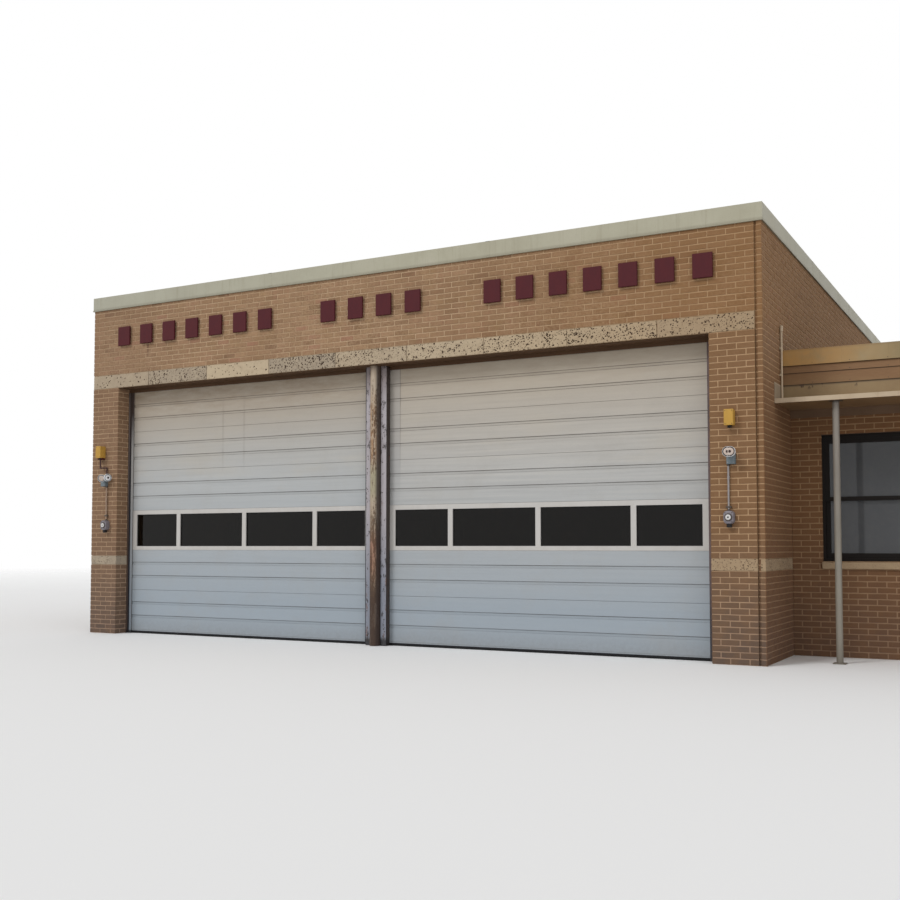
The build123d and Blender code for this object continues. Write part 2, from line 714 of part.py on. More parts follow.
def wall_lamp(x, aims):
    """Two lamp heads on a small box, each turned its own way from straight ahead."""
    sides = (x - LAMP_BOX_WIDTH / 2, x + LAMP_BOX_WIDTH / 2)
    lamp = block(sides, (-LAMP_BOX_DEPTH, 0), (LAMP_BOX_LOW, LAMP_Z))
    for offset, aim in zip(row(2, LAMP_OFFSET), aims):
        place = Pos(x + offset, -LAMP_STAND, LAMP_Z)
        lamp += place * Rot(0, 0, aim) * Rot(90, 0, 0) * lamp_head()
    return lamp


def lamp_conduit(x):
    """A thin conduit from the lamp down to the key switch."""
    return upright(x, -CONDUIT_STAND, CONDUIT_RADIUS, SWITCH_Z + SWITCH_HEIGHT / 2, LAMP_BOX_LOW)


def feed_conduit(box_x, lamp_x):
    """A conduit from the yellow box's gland, with two bends, down to the top of the lamp's box."""
    gland_low = BOX_Z - BOX_HEIGHT / 2 - BOX_GLAND_LENGTH
    box_y, lamp_y = -BOX_DEPTH / 2, -CONDUIT_STAND
    corners = [(box_x, box_y, CONDUIT_BEND_Z), (lamp_x, lamp_y, CONDUIT_BEND_Z)]
    run = upright(box_x, box_y, CONDUIT_RADIUS, CONDUIT_BEND_Z, gland_low)
    run += upright(lamp_x, lamp_y, CONDUIT_RADIUS, LAMP_Z, CONDUIT_BEND_Z)
    along = Edge.make_line(*corners)
    run += sweep(Plane(origin=corners[0], z_dir=along % 0) * Circle(CONDUIT_RADIUS), path=along)
    for corner in corners:
        run += Pos(*corner) * Sphere(CONDUIT_RADIUS)
    return run


def key_switch(x):
    """A rounded cast box with a collar, a plain round dial and a short gland."""
    low, high = SWITCH_Z - SWITCH_HEIGHT / 2, SWITCH_Z + SWITCH_HEIGHT / 2
    box = block((x - SWITCH_WIDTH / 2, x + SWITCH_WIDTH / 2), (-SWITCH_DEPTH, 0), (low, high))
    box = fillet(box.edges().filter_by(Axis.Y), SWITCH_CORNER)
    for radius, height in ((COLLAR_RADIUS, COLLAR_HEIGHT), (DIAL_RADIUS, DIAL_HEIGHT)):
        disc = Cylinder(radius, height, align=(Align.CENTER, Align.CENTER, Align.MIN))
        box += Pos(x, -SWITCH_DEPTH, SWITCH_Z) * Rot(90, 0, 0) * disc
    return box + upright(x, -SWITCH_DEPTH / 2, SWITCH_GLAND_RADIUS, low - SWITCH_GLAND_LENGTH, low)


def service_conduit():
    """A conduit up the side wall with a thicker cap, on two straps."""
    x = BAY_WIDTH + SERVICE_STAND
    pipe = upright(x, SERVICE_Y, SERVICE_RADIUS, CANOPY_TOP, SERVICE_TOP)
    pipe += upright(x, SERVICE_Y, SERVICE_CAP_RADIUS, SERVICE_TOP - SERVICE_CAP_HEIGHT, SERVICE_TOP)
    y = (SERVICE_Y - STRAP_WIDTH / 2, SERVICE_Y + STRAP_WIDTH / 2)
    for share in STRAP_SHARES:
        z = CANOPY_TOP + share * (SERVICE_TOP - CANOPY_TOP)
        pipe += block((BAY_WIDTH, x), y, (z - SERVICE_RADIUS, z + SERVICE_RADIUS))
    return pipe


# Floors and roofs

def bay_floor():
    return block((WALL, BAY_WIDTH - WALL), (WALL + POST_DEPTH, BAY_DEPTH - WALL), (0, FLOOR_TOP))


def wing_floor():
    return block((BAY_WIDTH, WING_RIGHT - WALL), (WING_SETBACK + WALL, WING_REAR - WALL), (0, FLOOR_TOP))


def bay_roof():
    return block((0, BAY_WIDTH), (0, BAY_DEPTH), (BAY_WALL_TOP, BAY_WALL_TOP + ROOF_SLAB))


def wing_roof():
    y = (WING_EDGE_Y + BOARD, WING_REAR)
    return block((BAY_WIDTH, WING_RIGHT), y, (WING_WALL_TOP, WING_WALL_TOP + WING_ROOF_SLAB))


def building():
    """Every node of the building, as name to list of solids."""
    wing, bay = wing_places(), bay_places()
    every = wing["front"] + wing["end"] + wing["rear"] + bay["left"] + bay["rear"]
    sills = wing["front"] + wing["end"] + wing["rear"]
    stones = stone_course()
    front_y = (WING_SETBACK, WING_SETBACK + WALL)
    rear_y = (WING_REAR - WALL, WING_REAR)
    nodes = {
        "bay_floor": [bay_floor()],
        "wing_floor": [wing_floor()],
        "left_pier": pier((0, PIER_WIDTH)),
        "right_pier": pier((OPENING_RIGHT, FACE_RIGHT)),
        "pier_stones": pier_stones(),
        "stone_course": stones,
        "stone_band": [stone_band()],
        "upper_front_wall": [upper_front_wall()],
        "left_wall": [left_wall(stones, bay["left"])],
        "right_wall": [right_wall(stones)],
        "rear_wall": [rear_wall(stones, bay["rear"])],
        "bay_roof": [bay_roof()],
        "bay_roof_edge": bay_edge(),
        "centre_column": [centre_column()],
        "centre_jamb": [centre_jamb()],
        "centre_post": [centre_post()],
        "pier_jambs": pier_jambs(),
        "door_lintel": [door_lintel()],
        "door_tracks": door_tracks(),
        "door_seals": [door_seal(centre) for centre in DOOR_CENTRES.values()],
        "sign_tablets": sign_tablets(),
        "alarm_boxes": [alarm_box(x) for x in BOX_X.values()],
        "wall_lamps": [wall_lamp(x, LAMP_AIM[side]) for side, x in LAMP_X.items()],
        "key_switches": [key_switch(x) for x in SWITCH_X.values()],
        "lamp_conduits": [lamp_conduit(x) for x in CONDUIT_X.values()]
        + [feed_conduit(BOX_X["left"], CONDUIT_X["left"])],
        "wing_front_wall": [wing_wall((BAY_WIDTH, WING_RIGHT), front_y, wing["front"])],
        "wing_end_wall": [wing_wall((WING_RIGHT - WALL, WING_RIGHT), (front_y[1], rear_y[0]), wing["end"])],
        "wing_rear_wall": [wing_wall((BAY_WIDTH, WING_RIGHT), rear_y, wing["rear"])],
        "wing_roof": [wing_roof()],
        "wing_coping": wing_coping(),
        "wing_siding": wing_siding(),
        "wing_frieze": wing_frieze(),
        "canopy_slab": [canopy_slab()],
        "canopy_posts": canopy_posts(),
        "soffit_trim": [soffit_trim()],
        "window_frames": [place * window_frame() for place in every],
        "window_glass": [place * pane for place in every for pane in window_panes()],
        "window_sills": [place * window_sill() for place in sills],
        "service_conduit": [service_conduit()],
    }
    for side, centre in DOOR_CENTRES.items():
        nodes[side + "_door_sections"] = door_panels(centre)
        nodes[side + "_door_window_section"] = [door_window_section(centre)]
        nodes[side + "_door_glass"] = door_glass(centre)
    return nodes


def write(nodes):
    """Put the origin under the middle of the whole building and write each node."""
    os.makedirs("parts", exist_ok=True)
    bounds = together(s for solids in nodes.values() for s in solids).bounding_box()
    middle = bounds.center()
    shift = Pos(-middle.X, -middle.Y, -bounds.min.Z)
    print("origin", round(middle.X, 3), round(middle.Y, 3), "size", bounds.size)
    for name, solids in nodes.items():
        shape = solids[0] if len(solids) == 1 else together(solids)
        export_step(shift * shape, "parts/" + name + ".step")


write(building())
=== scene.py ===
import random
from functools import reduce
from math import ceil, copysign, cos, hypot, pi, radians, sin

import bmesh
import bpy
from mathutils import Matrix, Vector, noise


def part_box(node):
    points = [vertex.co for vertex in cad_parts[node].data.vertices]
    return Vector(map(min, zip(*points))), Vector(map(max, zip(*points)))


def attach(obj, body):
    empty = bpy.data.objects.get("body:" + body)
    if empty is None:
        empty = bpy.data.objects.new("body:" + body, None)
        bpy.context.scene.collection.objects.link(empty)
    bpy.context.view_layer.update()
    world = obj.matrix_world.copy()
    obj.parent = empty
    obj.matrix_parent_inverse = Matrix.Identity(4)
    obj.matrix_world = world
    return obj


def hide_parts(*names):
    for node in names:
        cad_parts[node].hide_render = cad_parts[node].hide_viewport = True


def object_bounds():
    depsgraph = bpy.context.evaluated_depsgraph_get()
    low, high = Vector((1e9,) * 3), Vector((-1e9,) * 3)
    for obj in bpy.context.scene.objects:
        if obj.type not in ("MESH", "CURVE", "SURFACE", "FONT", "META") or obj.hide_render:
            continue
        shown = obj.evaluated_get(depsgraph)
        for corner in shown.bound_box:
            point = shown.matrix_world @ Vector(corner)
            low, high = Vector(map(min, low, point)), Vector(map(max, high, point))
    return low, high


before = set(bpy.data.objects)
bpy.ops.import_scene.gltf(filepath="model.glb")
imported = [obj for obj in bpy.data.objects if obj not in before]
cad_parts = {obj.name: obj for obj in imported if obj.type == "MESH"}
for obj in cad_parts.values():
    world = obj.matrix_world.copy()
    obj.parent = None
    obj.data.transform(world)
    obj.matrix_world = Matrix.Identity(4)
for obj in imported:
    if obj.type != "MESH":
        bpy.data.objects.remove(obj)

# The CAD model's box
cad_low, cad_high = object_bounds()

# How close points are to count as one, as on a plane, and as at an edge
SAME_POINT = 1e-5
ON_PLANE = 1e-4
AT_EDGE = 1e-3

# Edges flatter than this look smooth on the turned pieces, in degrees
SMOOTH_ANGLE = 35

# Brickwork, in metres
COURSE = 0.06985
PITCH = 0.2159
JOINT = 0.0127
JOINT_DEPTH = 0.005
BRICK_BEVEL = 0.0022
BRICK_DEPTH_JITTER = 0.0012
BRICK_EDGE_JITTER = 0.0018
SMALLEST_CUT = 0.014
HOLE_REACH = 0.07
REVEAL = 0.062
REVEAL_LIFT = 0.0015
RECESS_FILL = 0.013
LINTEL_PLATE = 0.006
LINTEL_INSET = 0.002
LINTEL_FRONT = 0.003

# The lot that makes a brick dark, up to the first, or red, from the second
DARK_BRICKS = 0.08
RED_BRICKS_FROM = 0.975

# Stonework, with PIT_SHARE in pits a square metre
BLOCK = 1.141
BLOCK_JOINT = 0.006
STONE_CELL = 0.0065
COARSE_CELL = 0.012
STONE_SKIN = 0.012
PIT_DEPTH = 0.009
GRAIN_DEPTH = 0.0008
ARRIS_WEAR = 0.002
CHIP_DEPTH = 0.012
PIT_SHARE = 1150
PIT_RADIUS = (0.0035, 0.0112)
PIT_SQUASH = (1, 2.2)
PIT_REACH = 1.2
PIT_RIM = 1.25
PIT_STEEPNESS = 1.6
PIER_PITS = 0.6
SILL_BEVEL = 0.003

# Scales of the noise that clusters the pits, roughens the stone and chips its arrises
CLUSTER_SCALE = 7
GRAIN_SCALE = 40
CHIP_SCALE = 22

# Tone and pitting of the blocks over the doors, from the left, and of each face of the pier stones
BAND_BLOCKS = ((0.40, 0.35), (0.25, 0.9), (0.92, 0.25), (0.2, 1.2), (0.6, 0.9),
               (0.8, 0.85), (0.85, 1.1), (0.78, 1.05), (0.5, 0.8))
PIER_BLOCKS = ((0.1, 0.8), (0.1, 0.7), (0.1, 0.7), (0.5, 0.95), (0.4, 0.8), (0.4, 0.8))

# Overhead doors: section joints and ribs, from the ground
DOOR_BASE = 0.054
SECTION = 0.6096
RIB_HALF = 0.018
STILE = 0.2675
LEFT_SEAMS = (1.878, 2.272)
BEAD_WIDTH = 0.009
BEAD_DEPTH = 0.007
GLASS_SEAT = 0.012

# Centre channel: how far in the bolts are on each lip, and how high
JAMB_BOLTS = {"left": ((0.015, 0.03), (0.13, 0.23, 0.46, 1.62, 2.1, 2.38, 2.55)),
              "right": ((0.02, 0.06), (0.13, 0.19, 0.35, 1.68, 2.05, 2.3, 2.46, 2.66, 2.86))}

# Rubber lip on the channel: how far it stands out to the left, its front and back, and its foot
LIP_OUT = 0.011
LIP_DEPTH = (0.001, 0.006)
LIP_FOOT = 0.02

# Steel angle on the left pier: how much of its width stays dark
LEFT_ANGLE = 0.043

# Lamps, switches and boxes on the piers
LAMP_AIMS = (((0.64, -0.75, -0.14), (0.94, -0.34, -0.06)), ((0.14, -0.99, 0), (-0.03, -1, 0)))
LAMP_OFFSET = 0.050
LAMP_STAND = 0.050
LAMP_BOX = 0.060
LAMP_COVER_IN = 0.006
LAMP_COVER_PROUD = 0.0025
LAMP_COVER_DROP = 0.030
LAMP_SCREW_IN = 0.016
LAMP_SCREW_UP = 0.018
SWITCH_DEPTH = 0.078
SWITCH_CORNER = 0.040
BOX_COVER = 0.016
BOX_INSET = 0.002
BOX_GAP = 0.0015
BOX_BRACKET = ((-0.040, -0.026), (0.026, 0.045))
BRACKET_OUT = 0.075
BRACKET_DROP = 0.024
SCREW_APART = 0.038
SWITCH_SCREW_APART = 0.053
BOX_SCREW_IN = 0.016

# Conduits on the piers: the height of the coupling and of the strap, and the strap's half size
COUPLINGS = ((2.04, 1.80), (2.10, 1.77))
STRAP_HALF = (0.030, 0.009)
STRAP_PROUD = 0.0125

# Cable glands: radius, height of the groove, whole height and height of the lip
SWITCH_GLAND = (0.030, 0.018, 0.042, 0.003)
BOX_GLAND = (0.024, 0.010, 0.026, 0.002)

# Roof edge and wing
SEAM_PITCH = 3.0
SEAM_WIDTH = 0.06
SEAM_PROUD = 0.0015
SEAM_INSET = 0.006
SEAM_FOOT = 0.026
SEAM_OVERLAP = 0.004
SEAM_ON_TOP = 0.1
NAIL_START = 0.35
NAIL_PITCH = 0.42
NAIL_END = 0.2
NAIL_ROWS = (("wing_coping", 0.02), ("wing_siding", 0.018), ("wing_siding", 0.018))

# Camera, placed from the front right corner of the right pier
CAMERA_RIGHT = 2.890
CAMERA_FRONT = 12.515
CAMERA_UP = 1.322
CAMERA_YAW = 28.499
CAMERA_PITCH = 2.822
LENS = 44.387
SENSOR = 36.0
SHIFT = (0.00038, 0.04673)
FARTHEST = 500.0

# Studio
FLOOR_SIZE = 200.0
FLOOR_DROP = -0.002
FLOOR_FADE = (22.0, 60.0)
FLOOR_COLOUR = (0.86, 0.86, 0.86, 1)
FLOOR_ROUGHNESS = 0.9
SKY_LEVEL = 0.62

# Suns: name, strength, angle and direction
SUNS = (("key", 1.15, 18, (0.55, 1.0, -1.0)), ("fill", 0.35, 40, (-0.8, 0.6, -0.35)))

UP = Vector((0, 0, 1))
FRONT = Vector((0, -1, 0))
random.seed(5)


# Where things are, from the frame

def mesh_of(node):
    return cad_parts[node].data


def span(points):
    """The lowest and the highest corner of some points."""
    return [Vector([pick(p[i] for p in points) for i in range(3)]) for pick in (min, max)]


def solids_of(node):
    """The (low, high) box of each separate solid in a CAD node."""
    shape = bmesh.new()
    shape.from_mesh(mesh_of(node))
    bmesh.ops.remove_doubles(shape, verts=shape.verts[:], dist=SAME_POINT)
    left, boxes = set(shape.verts), []
    while left:
        reached, queue = [], [left.pop()]
        while queue:
            reached.append(queue.pop())
            near = {edge.other_vert(reached[-1]) for edge in reached[-1].link_edges} & left
            left -= near
            queue += near
        boxes.append(span([v.co for v in reached]))
    shape.free()
    return sorted(boxes, key=lambda box: [round(c, 4) for c in box[0]])


def feet_of(node):
    """For each solid of a node, the box of its points on the wall behind it, and the place of its front."""
    points = [v.co for v in mesh_of(node).vertices]
    feet = []
    for low, high in solids_of(node):
        x0, x1, wall = low.x - ON_PLANE, high.x + ON_PLANE, high.y - ON_PLANE
        feet.append(span([p for p in points if p.y > wall and x0 < p.x < x1]) + [low.y])
    return feet


BAY_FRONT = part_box("left_pier")[0].y
BAY_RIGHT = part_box("right_wall")[1].x
FACE_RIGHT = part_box("right_pier")[1].x
OPENING_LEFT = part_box("left_pier")[1].x
EDGE_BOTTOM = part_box("bay_roof_edge")[0].z
BOARD_JOINT = 3.39
WING_JOINTS = (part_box("wing_coping")[0].z, BOARD_JOINT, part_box("wing_siding")[0].z)
CANOPY_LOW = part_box("canopy_slab")[0]
RIGHT_DOOR_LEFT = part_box("right_door_sections")[0].x
LEFT_DOOR_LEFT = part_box("left_door_sections")[0].x
STAIN_TABLET = solids_of("sign_tablets")[1]
STONE_LOW, STONE_HIGH = solids_of("pier_stones")[0]


# Node materials: colours are 8-bit screen values

def tone(colour):
    """A linear colour from screen values; a socket or a linear colour stays as it is."""
    if not isinstance(colour, tuple) or len(colour) == 4:
        return colour
    scaled = [v / 255 for v in colour]
    return (*[v / 12.92 if v <= 0.04045 else ((v + 0.055) / 1.055) ** 2.4 for v in scaled], 1.0)


MATERIALS = {}


class Tree:
    """A node tree, built up one node at a time."""

    def __init__(self, owner):
        owner.use_nodes = True
        self.tree = owner.node_tree

    def put(self, socket, value):
        if isinstance(value, bpy.types.NodeSocket):
            self.tree.links.new(value, socket)
        else:
            socket.default_value = value

    def node(self, kind, settings=None, **inputs):
        node = self.tree.nodes.new("ShaderNode" + kind)
        for key, value in (settings or {}).items():
            setattr(node, key, value)
        for key, value in inputs.items():
            self.put(node.inputs[key.replace("_", " ")], value)
        return node

    def range(self, value, low, high, most=1, least=0):
        """From least to most as a value goes from a low mark to a high one, or the other way round."""
        return self.node("MapRange", {"clamp": True}, Value=value, From_Min=low, From_Max=high,
                         To_Min=least, To_Max=most).outputs["Result"]

    def math(self, kind, a, b=0):
        node = self.node("Math", {"operation": kind})
        self.put(node.inputs[0], a)
        self.put(node.inputs[1], b)
        return node.outputs[0]


class Look(Tree):
    """A node material: a base colour, and others laid over it."""

    def __init__(self, name, base=None):
        self.material = MATERIALS[name] = bpy.data.materials.new(name)
        super().__init__(self.material)
        self.shader = self.tree.nodes["Principled BSDF"]
        self.place = self.node("TexCoord").outputs["Object"]
        self.x, self.y, self.z = self.node("SeparateXYZ", Vector=self.place).outputs
        self.colour = base

    def noise(self, scale, detail=3, rough=0.55, stretch=None):
        """Noise in object coordinates, which may be scaled along each axis."""
        vector = self.place
        if stretch:
            vector = self.node("Mapping", Vector=vector, Scale=stretch).outputs["Vector"]
        node = self.node("TexNoise", Vector=vector, Scale=scale, Detail=detail, Roughness=rough)
        return node.outputs["Fac"]

    def cells(self, scale, output="Distance"):
        return self.node("TexVoronoi", Vector=self.place, Scale=scale).outputs[output]

    def attribute(self, name):
        return self.node("Attribute", {"attribute_name": name}).outputs["Fac"]

    def facing(self, direction, low=0.5, high=0.8):
        """1 where the surface faces along a fixed direction, 0 elsewhere."""
        node = self.node("VectorMath", {"operation": "DOT_PRODUCT"})
        self.put(node.inputs[0], self.node("NewGeometry").outputs["Normal"])
        self.put(node.inputs[1], direction)
        return self.range(node.outputs["Value"], low, high)

    def times(self, *values):
        return reduce(lambda a, b: self.math("MULTIPLY", a, b), values)

    def plus(self, *values):
        return reduce(lambda a, b: self.math("ADD", a, b), values)

    def line(self, value, middle, half, soft, strength=1):
        """A soft-edged line where a value passes a middle one."""
        return self.range(self.away(value, middle), half + soft, half, strength)

    def away(self, value, middle):
        """The distance of a value from a middle one."""
        return self.math("ABSOLUTE", self.math("SUBTRACT", value, middle))

    def ramp(self, value, *stops):
        """A colour ramp through stops of (position, red, green, blue)."""
        node = self.node("ValToRGB", Fac=value)
        elements = node.color_ramp.elements
        while len(elements) < len(stops):
            elements.new(0.5)
        for element, (position, *colour) in zip(elements, stops):
            element.position = position
            element.color = tone(tuple(colour))
        return node.outputs["Color"]

    def mix(self, factor, a, b):
        node = self.node("Mix", {"data_type": "RGBA"})
        for index, value in ((0, factor), (6, tone(a)), (7, tone(b))):
            self.put(node.inputs[index], value)
        return node.outputs[2]

    def lay(self, colour, value, low=None, high=None, most=1):
        """Lay a colour over the rest, more of it as a value goes from a low mark to a high one."""
        factor = value if low is None else self.range(value, low, high, most)
        self.colour = self.mix(factor, self.colour, colour)

    def bump(self, height, distance, **under):
        return self.node("Bump", Height=height, Distance=distance, **under).outputs["Normal"]

    def finish(self, roughness, relief=None, distance=0, **sockets):
        sockets.update(Base_Color=self.colour, Roughness=roughness)
        if relief:
            sockets["Normal"] = self.bump(relief, distance)
        for key, value in sockets.items():
            self.put(self.shader.inputs[key.replace("_", " ")], value)


def painted_tree_shade(k, most):
    """Painted shade of the trees: browner and darker towards the end of the building that stands under them.
    """
    return k.range(k.x, -2.5, 1.6, most)


def porch_shade(k, most):
    """Darker on the wing and the low part of the wall beside it, which the porch shades."""
    return k.times(k.range(k.x, BAY_RIGHT - 0.012, BAY_RIGHT - 0.008), k.range(k.z, 3.4, 2.9, most))


def tablet_stain(k):
    """A thin run of rust below one tablet."""
    low, high = STAIN_TABLET
    return k.times(k.line(k.x, (low.x + high.x) / 2 + 0.01, 0.006, 0.016, 0.75),
                   k.range(k.z, low.z - 0.26, low.z - 0.05), k.range(k.y, BAY_FRONT + 0.1, BAY_FRONT + 0.05),
                   k.range(k.z, low.z + 0.05, low.z))


def brick_look():
    """Fired clay: a tone for each brick, drag lines, specks, soot and grime near the ground, with painted
    shade of the trees, at the left end and under the porch.
    """
    k = Look("brick")
    k.colour = k.ramp(k.attribute("tone"), (0, 116, 86, 60), (0.12, 131, 100, 71), (0.45, 144, 112, 82),
                      (0.85, 155, 122, 91), (0.93, 152, 114, 88), (1, 148, 104, 80))
    olive = k.noise(5, 4, 0.6)
    k.lay((140, 112, 70), olive, 0.5, 0.7, 0.4)
    k.lay((152, 108, 84), olive, 0.46, 0.3, 0.35)
    k.lay((122, 90, 62), k.noise(14, 5, 0.65), 0.4, 0.72, 0.4)
    smear = k.range(k.noise(1.1, 4, 0.6), 0.42, 0.62, 0.55, 0.15)
    k.lay((180, 150, 118), k.times(smear, k.range(k.noise(40, 5, 0.7), 0.4, 0.66)))
    drag = k.noise(60, 4, 0.7, (0.3, 0.3, 5))
    k.lay((108, 78, 54), drag, 0.52, 0.75, 0.35)
    k.lay((96, 70, 52), k.noise(420, 2, 0.6), 0.6, 0.7, 0.45)
    k.lay((192, 160, 126), k.noise(160, 3, 0.6), 0.6, 0.75, 0.35)
    # Painted shade of the trees
    k.lay((124, 84, 38), painted_tree_shade(k, 0.62))
    k.lay((112, 83, 58), k.z, 3.95, 3.75, 0.42)
    k.lay((116, 90, 68), k.noise(0.7, 4, 0.6, (1, 1, 0.5)), 0.45, 0.75, 0.22)
    # Painted shade: darker towards the left end, most of all low down
    k.lay((110, 84, 66), k.times(k.range(k.x, -6.4, -7.9, 0.34), k.range(k.z, 4.6, 2.6, 1, 0.6)))
    grime = k.range(k.noise(6, 5), 0.3, 0.65, 1, 0.55)
    k.lay((88, 72, 62), k.times(k.range(k.z, 1.7, 0.1, 0.95), grime))
    k.lay((106, 66, 32), porch_shade(k, 0.4))
    k.lay((78, 46, 34), tablet_stain(k))
    relief = k.plus(k.times(k.noise(260, 4, 0.7), 0.7), k.noise(34), k.times(drag, 0.8))
    k.finish(0.88, relief, 0.0022)


def mortar_look():
    k = Look("mortar")
    grain = k.noise(500, 3, 0.7)
    k.colour = k.ramp(grain, (0.3, 160, 132, 104), (0.5, 188, 160, 129), (0.75, 204, 178, 148))
    k.lay((160, 130, 100), k.noise(8, 4, 0.6), 0.45, 0.7, 0.5)
    k.lay((154, 124, 94), k.noise(1.3, 4, 0.6), 0.45, 0.65, 0.5)
    # Painted shade of the trees
    k.lay((160, 122, 80), painted_tree_shade(k, 0.6))
    k.lay((198, 166, 132), k.z, 3.95, 3.75, 0.3)
    # Painted shade: darker towards the left end
    k.lay((140, 112, 90), k.x, -6.4, -7.9, 0.3)
    k.lay((150, 125, 107), k.z, 1.6, 0.1, 0.8)
    k.lay((118, 84, 50), porch_shade(k, 0.34))
    k.finish(0.95, grain, 0.002)


def stone_look():
    """Shell stone: pale, with a tone for each block; its holes, pits, chipped arrises and block sides are
    darkened, partly dirt and partly painted shade in the hollows.
    """
    k = Look("cast_stone")
    k.colour = k.ramp(k.attribute("tone"), (0, 151, 139, 124), (0.5, 168, 151, 129), (1, 189, 171, 144))
    k.lay((190, 174, 148), k.noise(5, 6, 0.65), 0.4, 0.7, 0.4)
    k.lay((134, 116, 96), k.noise(14, 5, 0.7), 0.52, 0.75, 0.5)
    # Painted shade of the trees
    k.lay((152, 118, 76), painted_tree_shade(k, 0.4))
    size = k.times(k.range(k.cells(70, "Color"), 0.45, 0.9, 0.42), k.attribute("wear"))
    hole = k.range(k.math("SUBTRACT", k.cells(70), size), 0, -0.06)
    # Small round holes, darkened: partly dirt, partly painted shade inside them
    k.lay((56, 44, 36), hole)
    k.lay((120, 102, 84), k.noise(420, 3, 0.7), 0.58, 0.72, 0.35)
    # Darker the deeper the pit, chip or joint: partly dirt, partly painted shade
    k.lay((70, 53, 42), k.attribute("pit"), 0.1, 0.5)
    relief = k.plus(k.noise(150, 5, 0.7), k.times(hole, -0.6))
    k.finish(0.9, relief, 0.003, Specular_IOR_Level=0.15)


def rib_dirt_and_shadow(k):
    """Dirt and painted groove shadow along the edges of the ribs, and dirt in the joints of the door
    sections.
    """
    section = k.math("FRACT", k.math("DIVIDE", k.math("SUBTRACT", k.z, DOOR_BASE), SECTION))
    third = k.math("FRACT", k.plus(k.times(section, 3), 0.5))
    off = k.times(k.math("SUBTRACT", third, 0.5), SECTION / 3)
    ribbed = k.range(k.away(section, 0.5), 0.36, 0.3)
    # Rib edges: partly dirt, partly painted groove shadow, its strength changing with height
    edges = k.plus(k.times(k.line(off, RIB_HALF, 0.0016, 0.003), k.range(k.z, 2.6, 3.6, 0.6, 0.95)),
                   k.times(k.line(off, -RIB_HALF, 0.0014, 0.003), k.range(k.z, 1.9, 3.2, 0.85, 0.25)),
                   k.line(off, 0, RIB_HALF, 0.001, 0.06))
    joint = k.times(k.line(off, 0, 0.0012, 0.003, 0.5), k.math("SUBTRACT", 1, ribbed))
    uneven = k.range(k.noise(1.1, 4, 0.6, (1, 1, 9)), 0.3, 0.6, 1, 0.55)
    return k.times(k.plus(k.times(edges, ribbed), joint), uneven)


def door_look():
    """Enamelled steel: dirt lines that are partly painted groove shadow, faint level streaks, a brown top
    that is partly dirt and partly a painted reflection, and a bluer foot.
    """
    k = Look("door_paint")
    x, z = k.x, k.z
    streaks = k.noise(1.6, 6, 0.62, (0.45, 1, 16))
    k.colour = k.ramp(streaks, (0.3, 167, 166, 163), (0.5, 175, 174, 171), (0.72, 182, 180, 175))
    k.lay((166, 172, 176), x, -3.2, -3.3, 0.45)
    # Brown towards the top: partly dirt, partly a painted reflection
    k.lay((168, 151, 126), z, 2.3, 3.7, 0.75)
    k.lay((147, 158, 168), z, 2.3, 0.5, 0.9)
    k.lay((152, 146, 136), k.noise(1.3, 6, 0.7), 0.5, 0.72, 0.2)
    k.lay((180, 170, 152), k.times(k.noise(0.8, 4, 0.6, (1, 1, 3)), k.range(z, 1.2, 2.4)), 0.5, 0.7, 0.25)
    soot = k.range(k.noise(3, 5, 0.7, (1, 1, 5)), 0.35, 0.65)
    k.lay((118, 96, 70), k.times(k.range(z, 3.2, 3.72, 0.6), soot, k.range(x, -2.6, -4.2, 1, 0.35)))
    k.lay((140, 122, 100), k.times(k.range(z, 2.8, 3.6), k.range(x, -3.2, -3.3, 0.3)))
    stile = k.line(x, RIGHT_DOOR_LEFT + STILE / 2, STILE / 2, 0.004, 0.35)
    k.lay((150, 150, 152), k.times(stile, k.range(z, 1.85, 2.4)))
    seams = k.times(k.line(x, RIGHT_DOOR_LEFT + STILE, 0.003, 0.008, 0.6), k.range(z, 2.1, 3.2))
    for place in LEFT_SEAMS:
        seam = k.times(k.line(x, LEFT_DOOR_LEFT + place, 0.006, 0.02, 0.22), k.line(z, 3, 0.25, 0.35))
        seams = k.math("MAXIMUM", seams, seam)
    k.lay((110, 102, 94), k.times(seams, k.range(k.noise(3, 3, 0.6, (0.1, 1, 1)), 0.35, 0.5, 1, 0.4)))
    # Dirt and painted groove shadow on the ribs
    k.lay((72, 68, 62), rib_dirt_and_shadow(k))
    k.lay((108, 102, 96), k.times(k.range(z, 0.3, 0.03, 0.6), k.noise(26, 6, 0.7)))
    k.lay((124, 112, 96), k.noise(38, 4, 0.75), 0.7, 0.74, 0.5)
    rough = k.range(k.noise(7, 4), 0.3, 0.7, 0.58, 0.42)
    grain = k.bump(k.noise(700, 2, 0.5), 0.0004)
    k.finish(rough, Normal=k.bump(k.noise(2.2, 3, 0.5), 0.004, Normal=grain))


def painted(name, colour, worn, roughness=0.5, scale=6, wear=0.35, shine=0.5, stretch=(1, 1, 0.4),
            grain=0.0004):
    """Plain paint with weathering in a second tone."""
    k = Look(name, colour)
    cloud = k.noise(scale, 6, 0.65, stretch)
    k.lay(worn, cloud, 0.42, 0.72, wear)
    k.lay(worn, k.noise(scale * 30, 3, 0.6), 0.62, 0.72, wear * 0.7)
    rough = k.range(cloud, 0.3, 0.7, roughness + 0.12, roughness - 0.08)
    k.finish(rough, k.noise(scale * 60, 3, 0.6), grain, Specular_IOR_Level=shine)


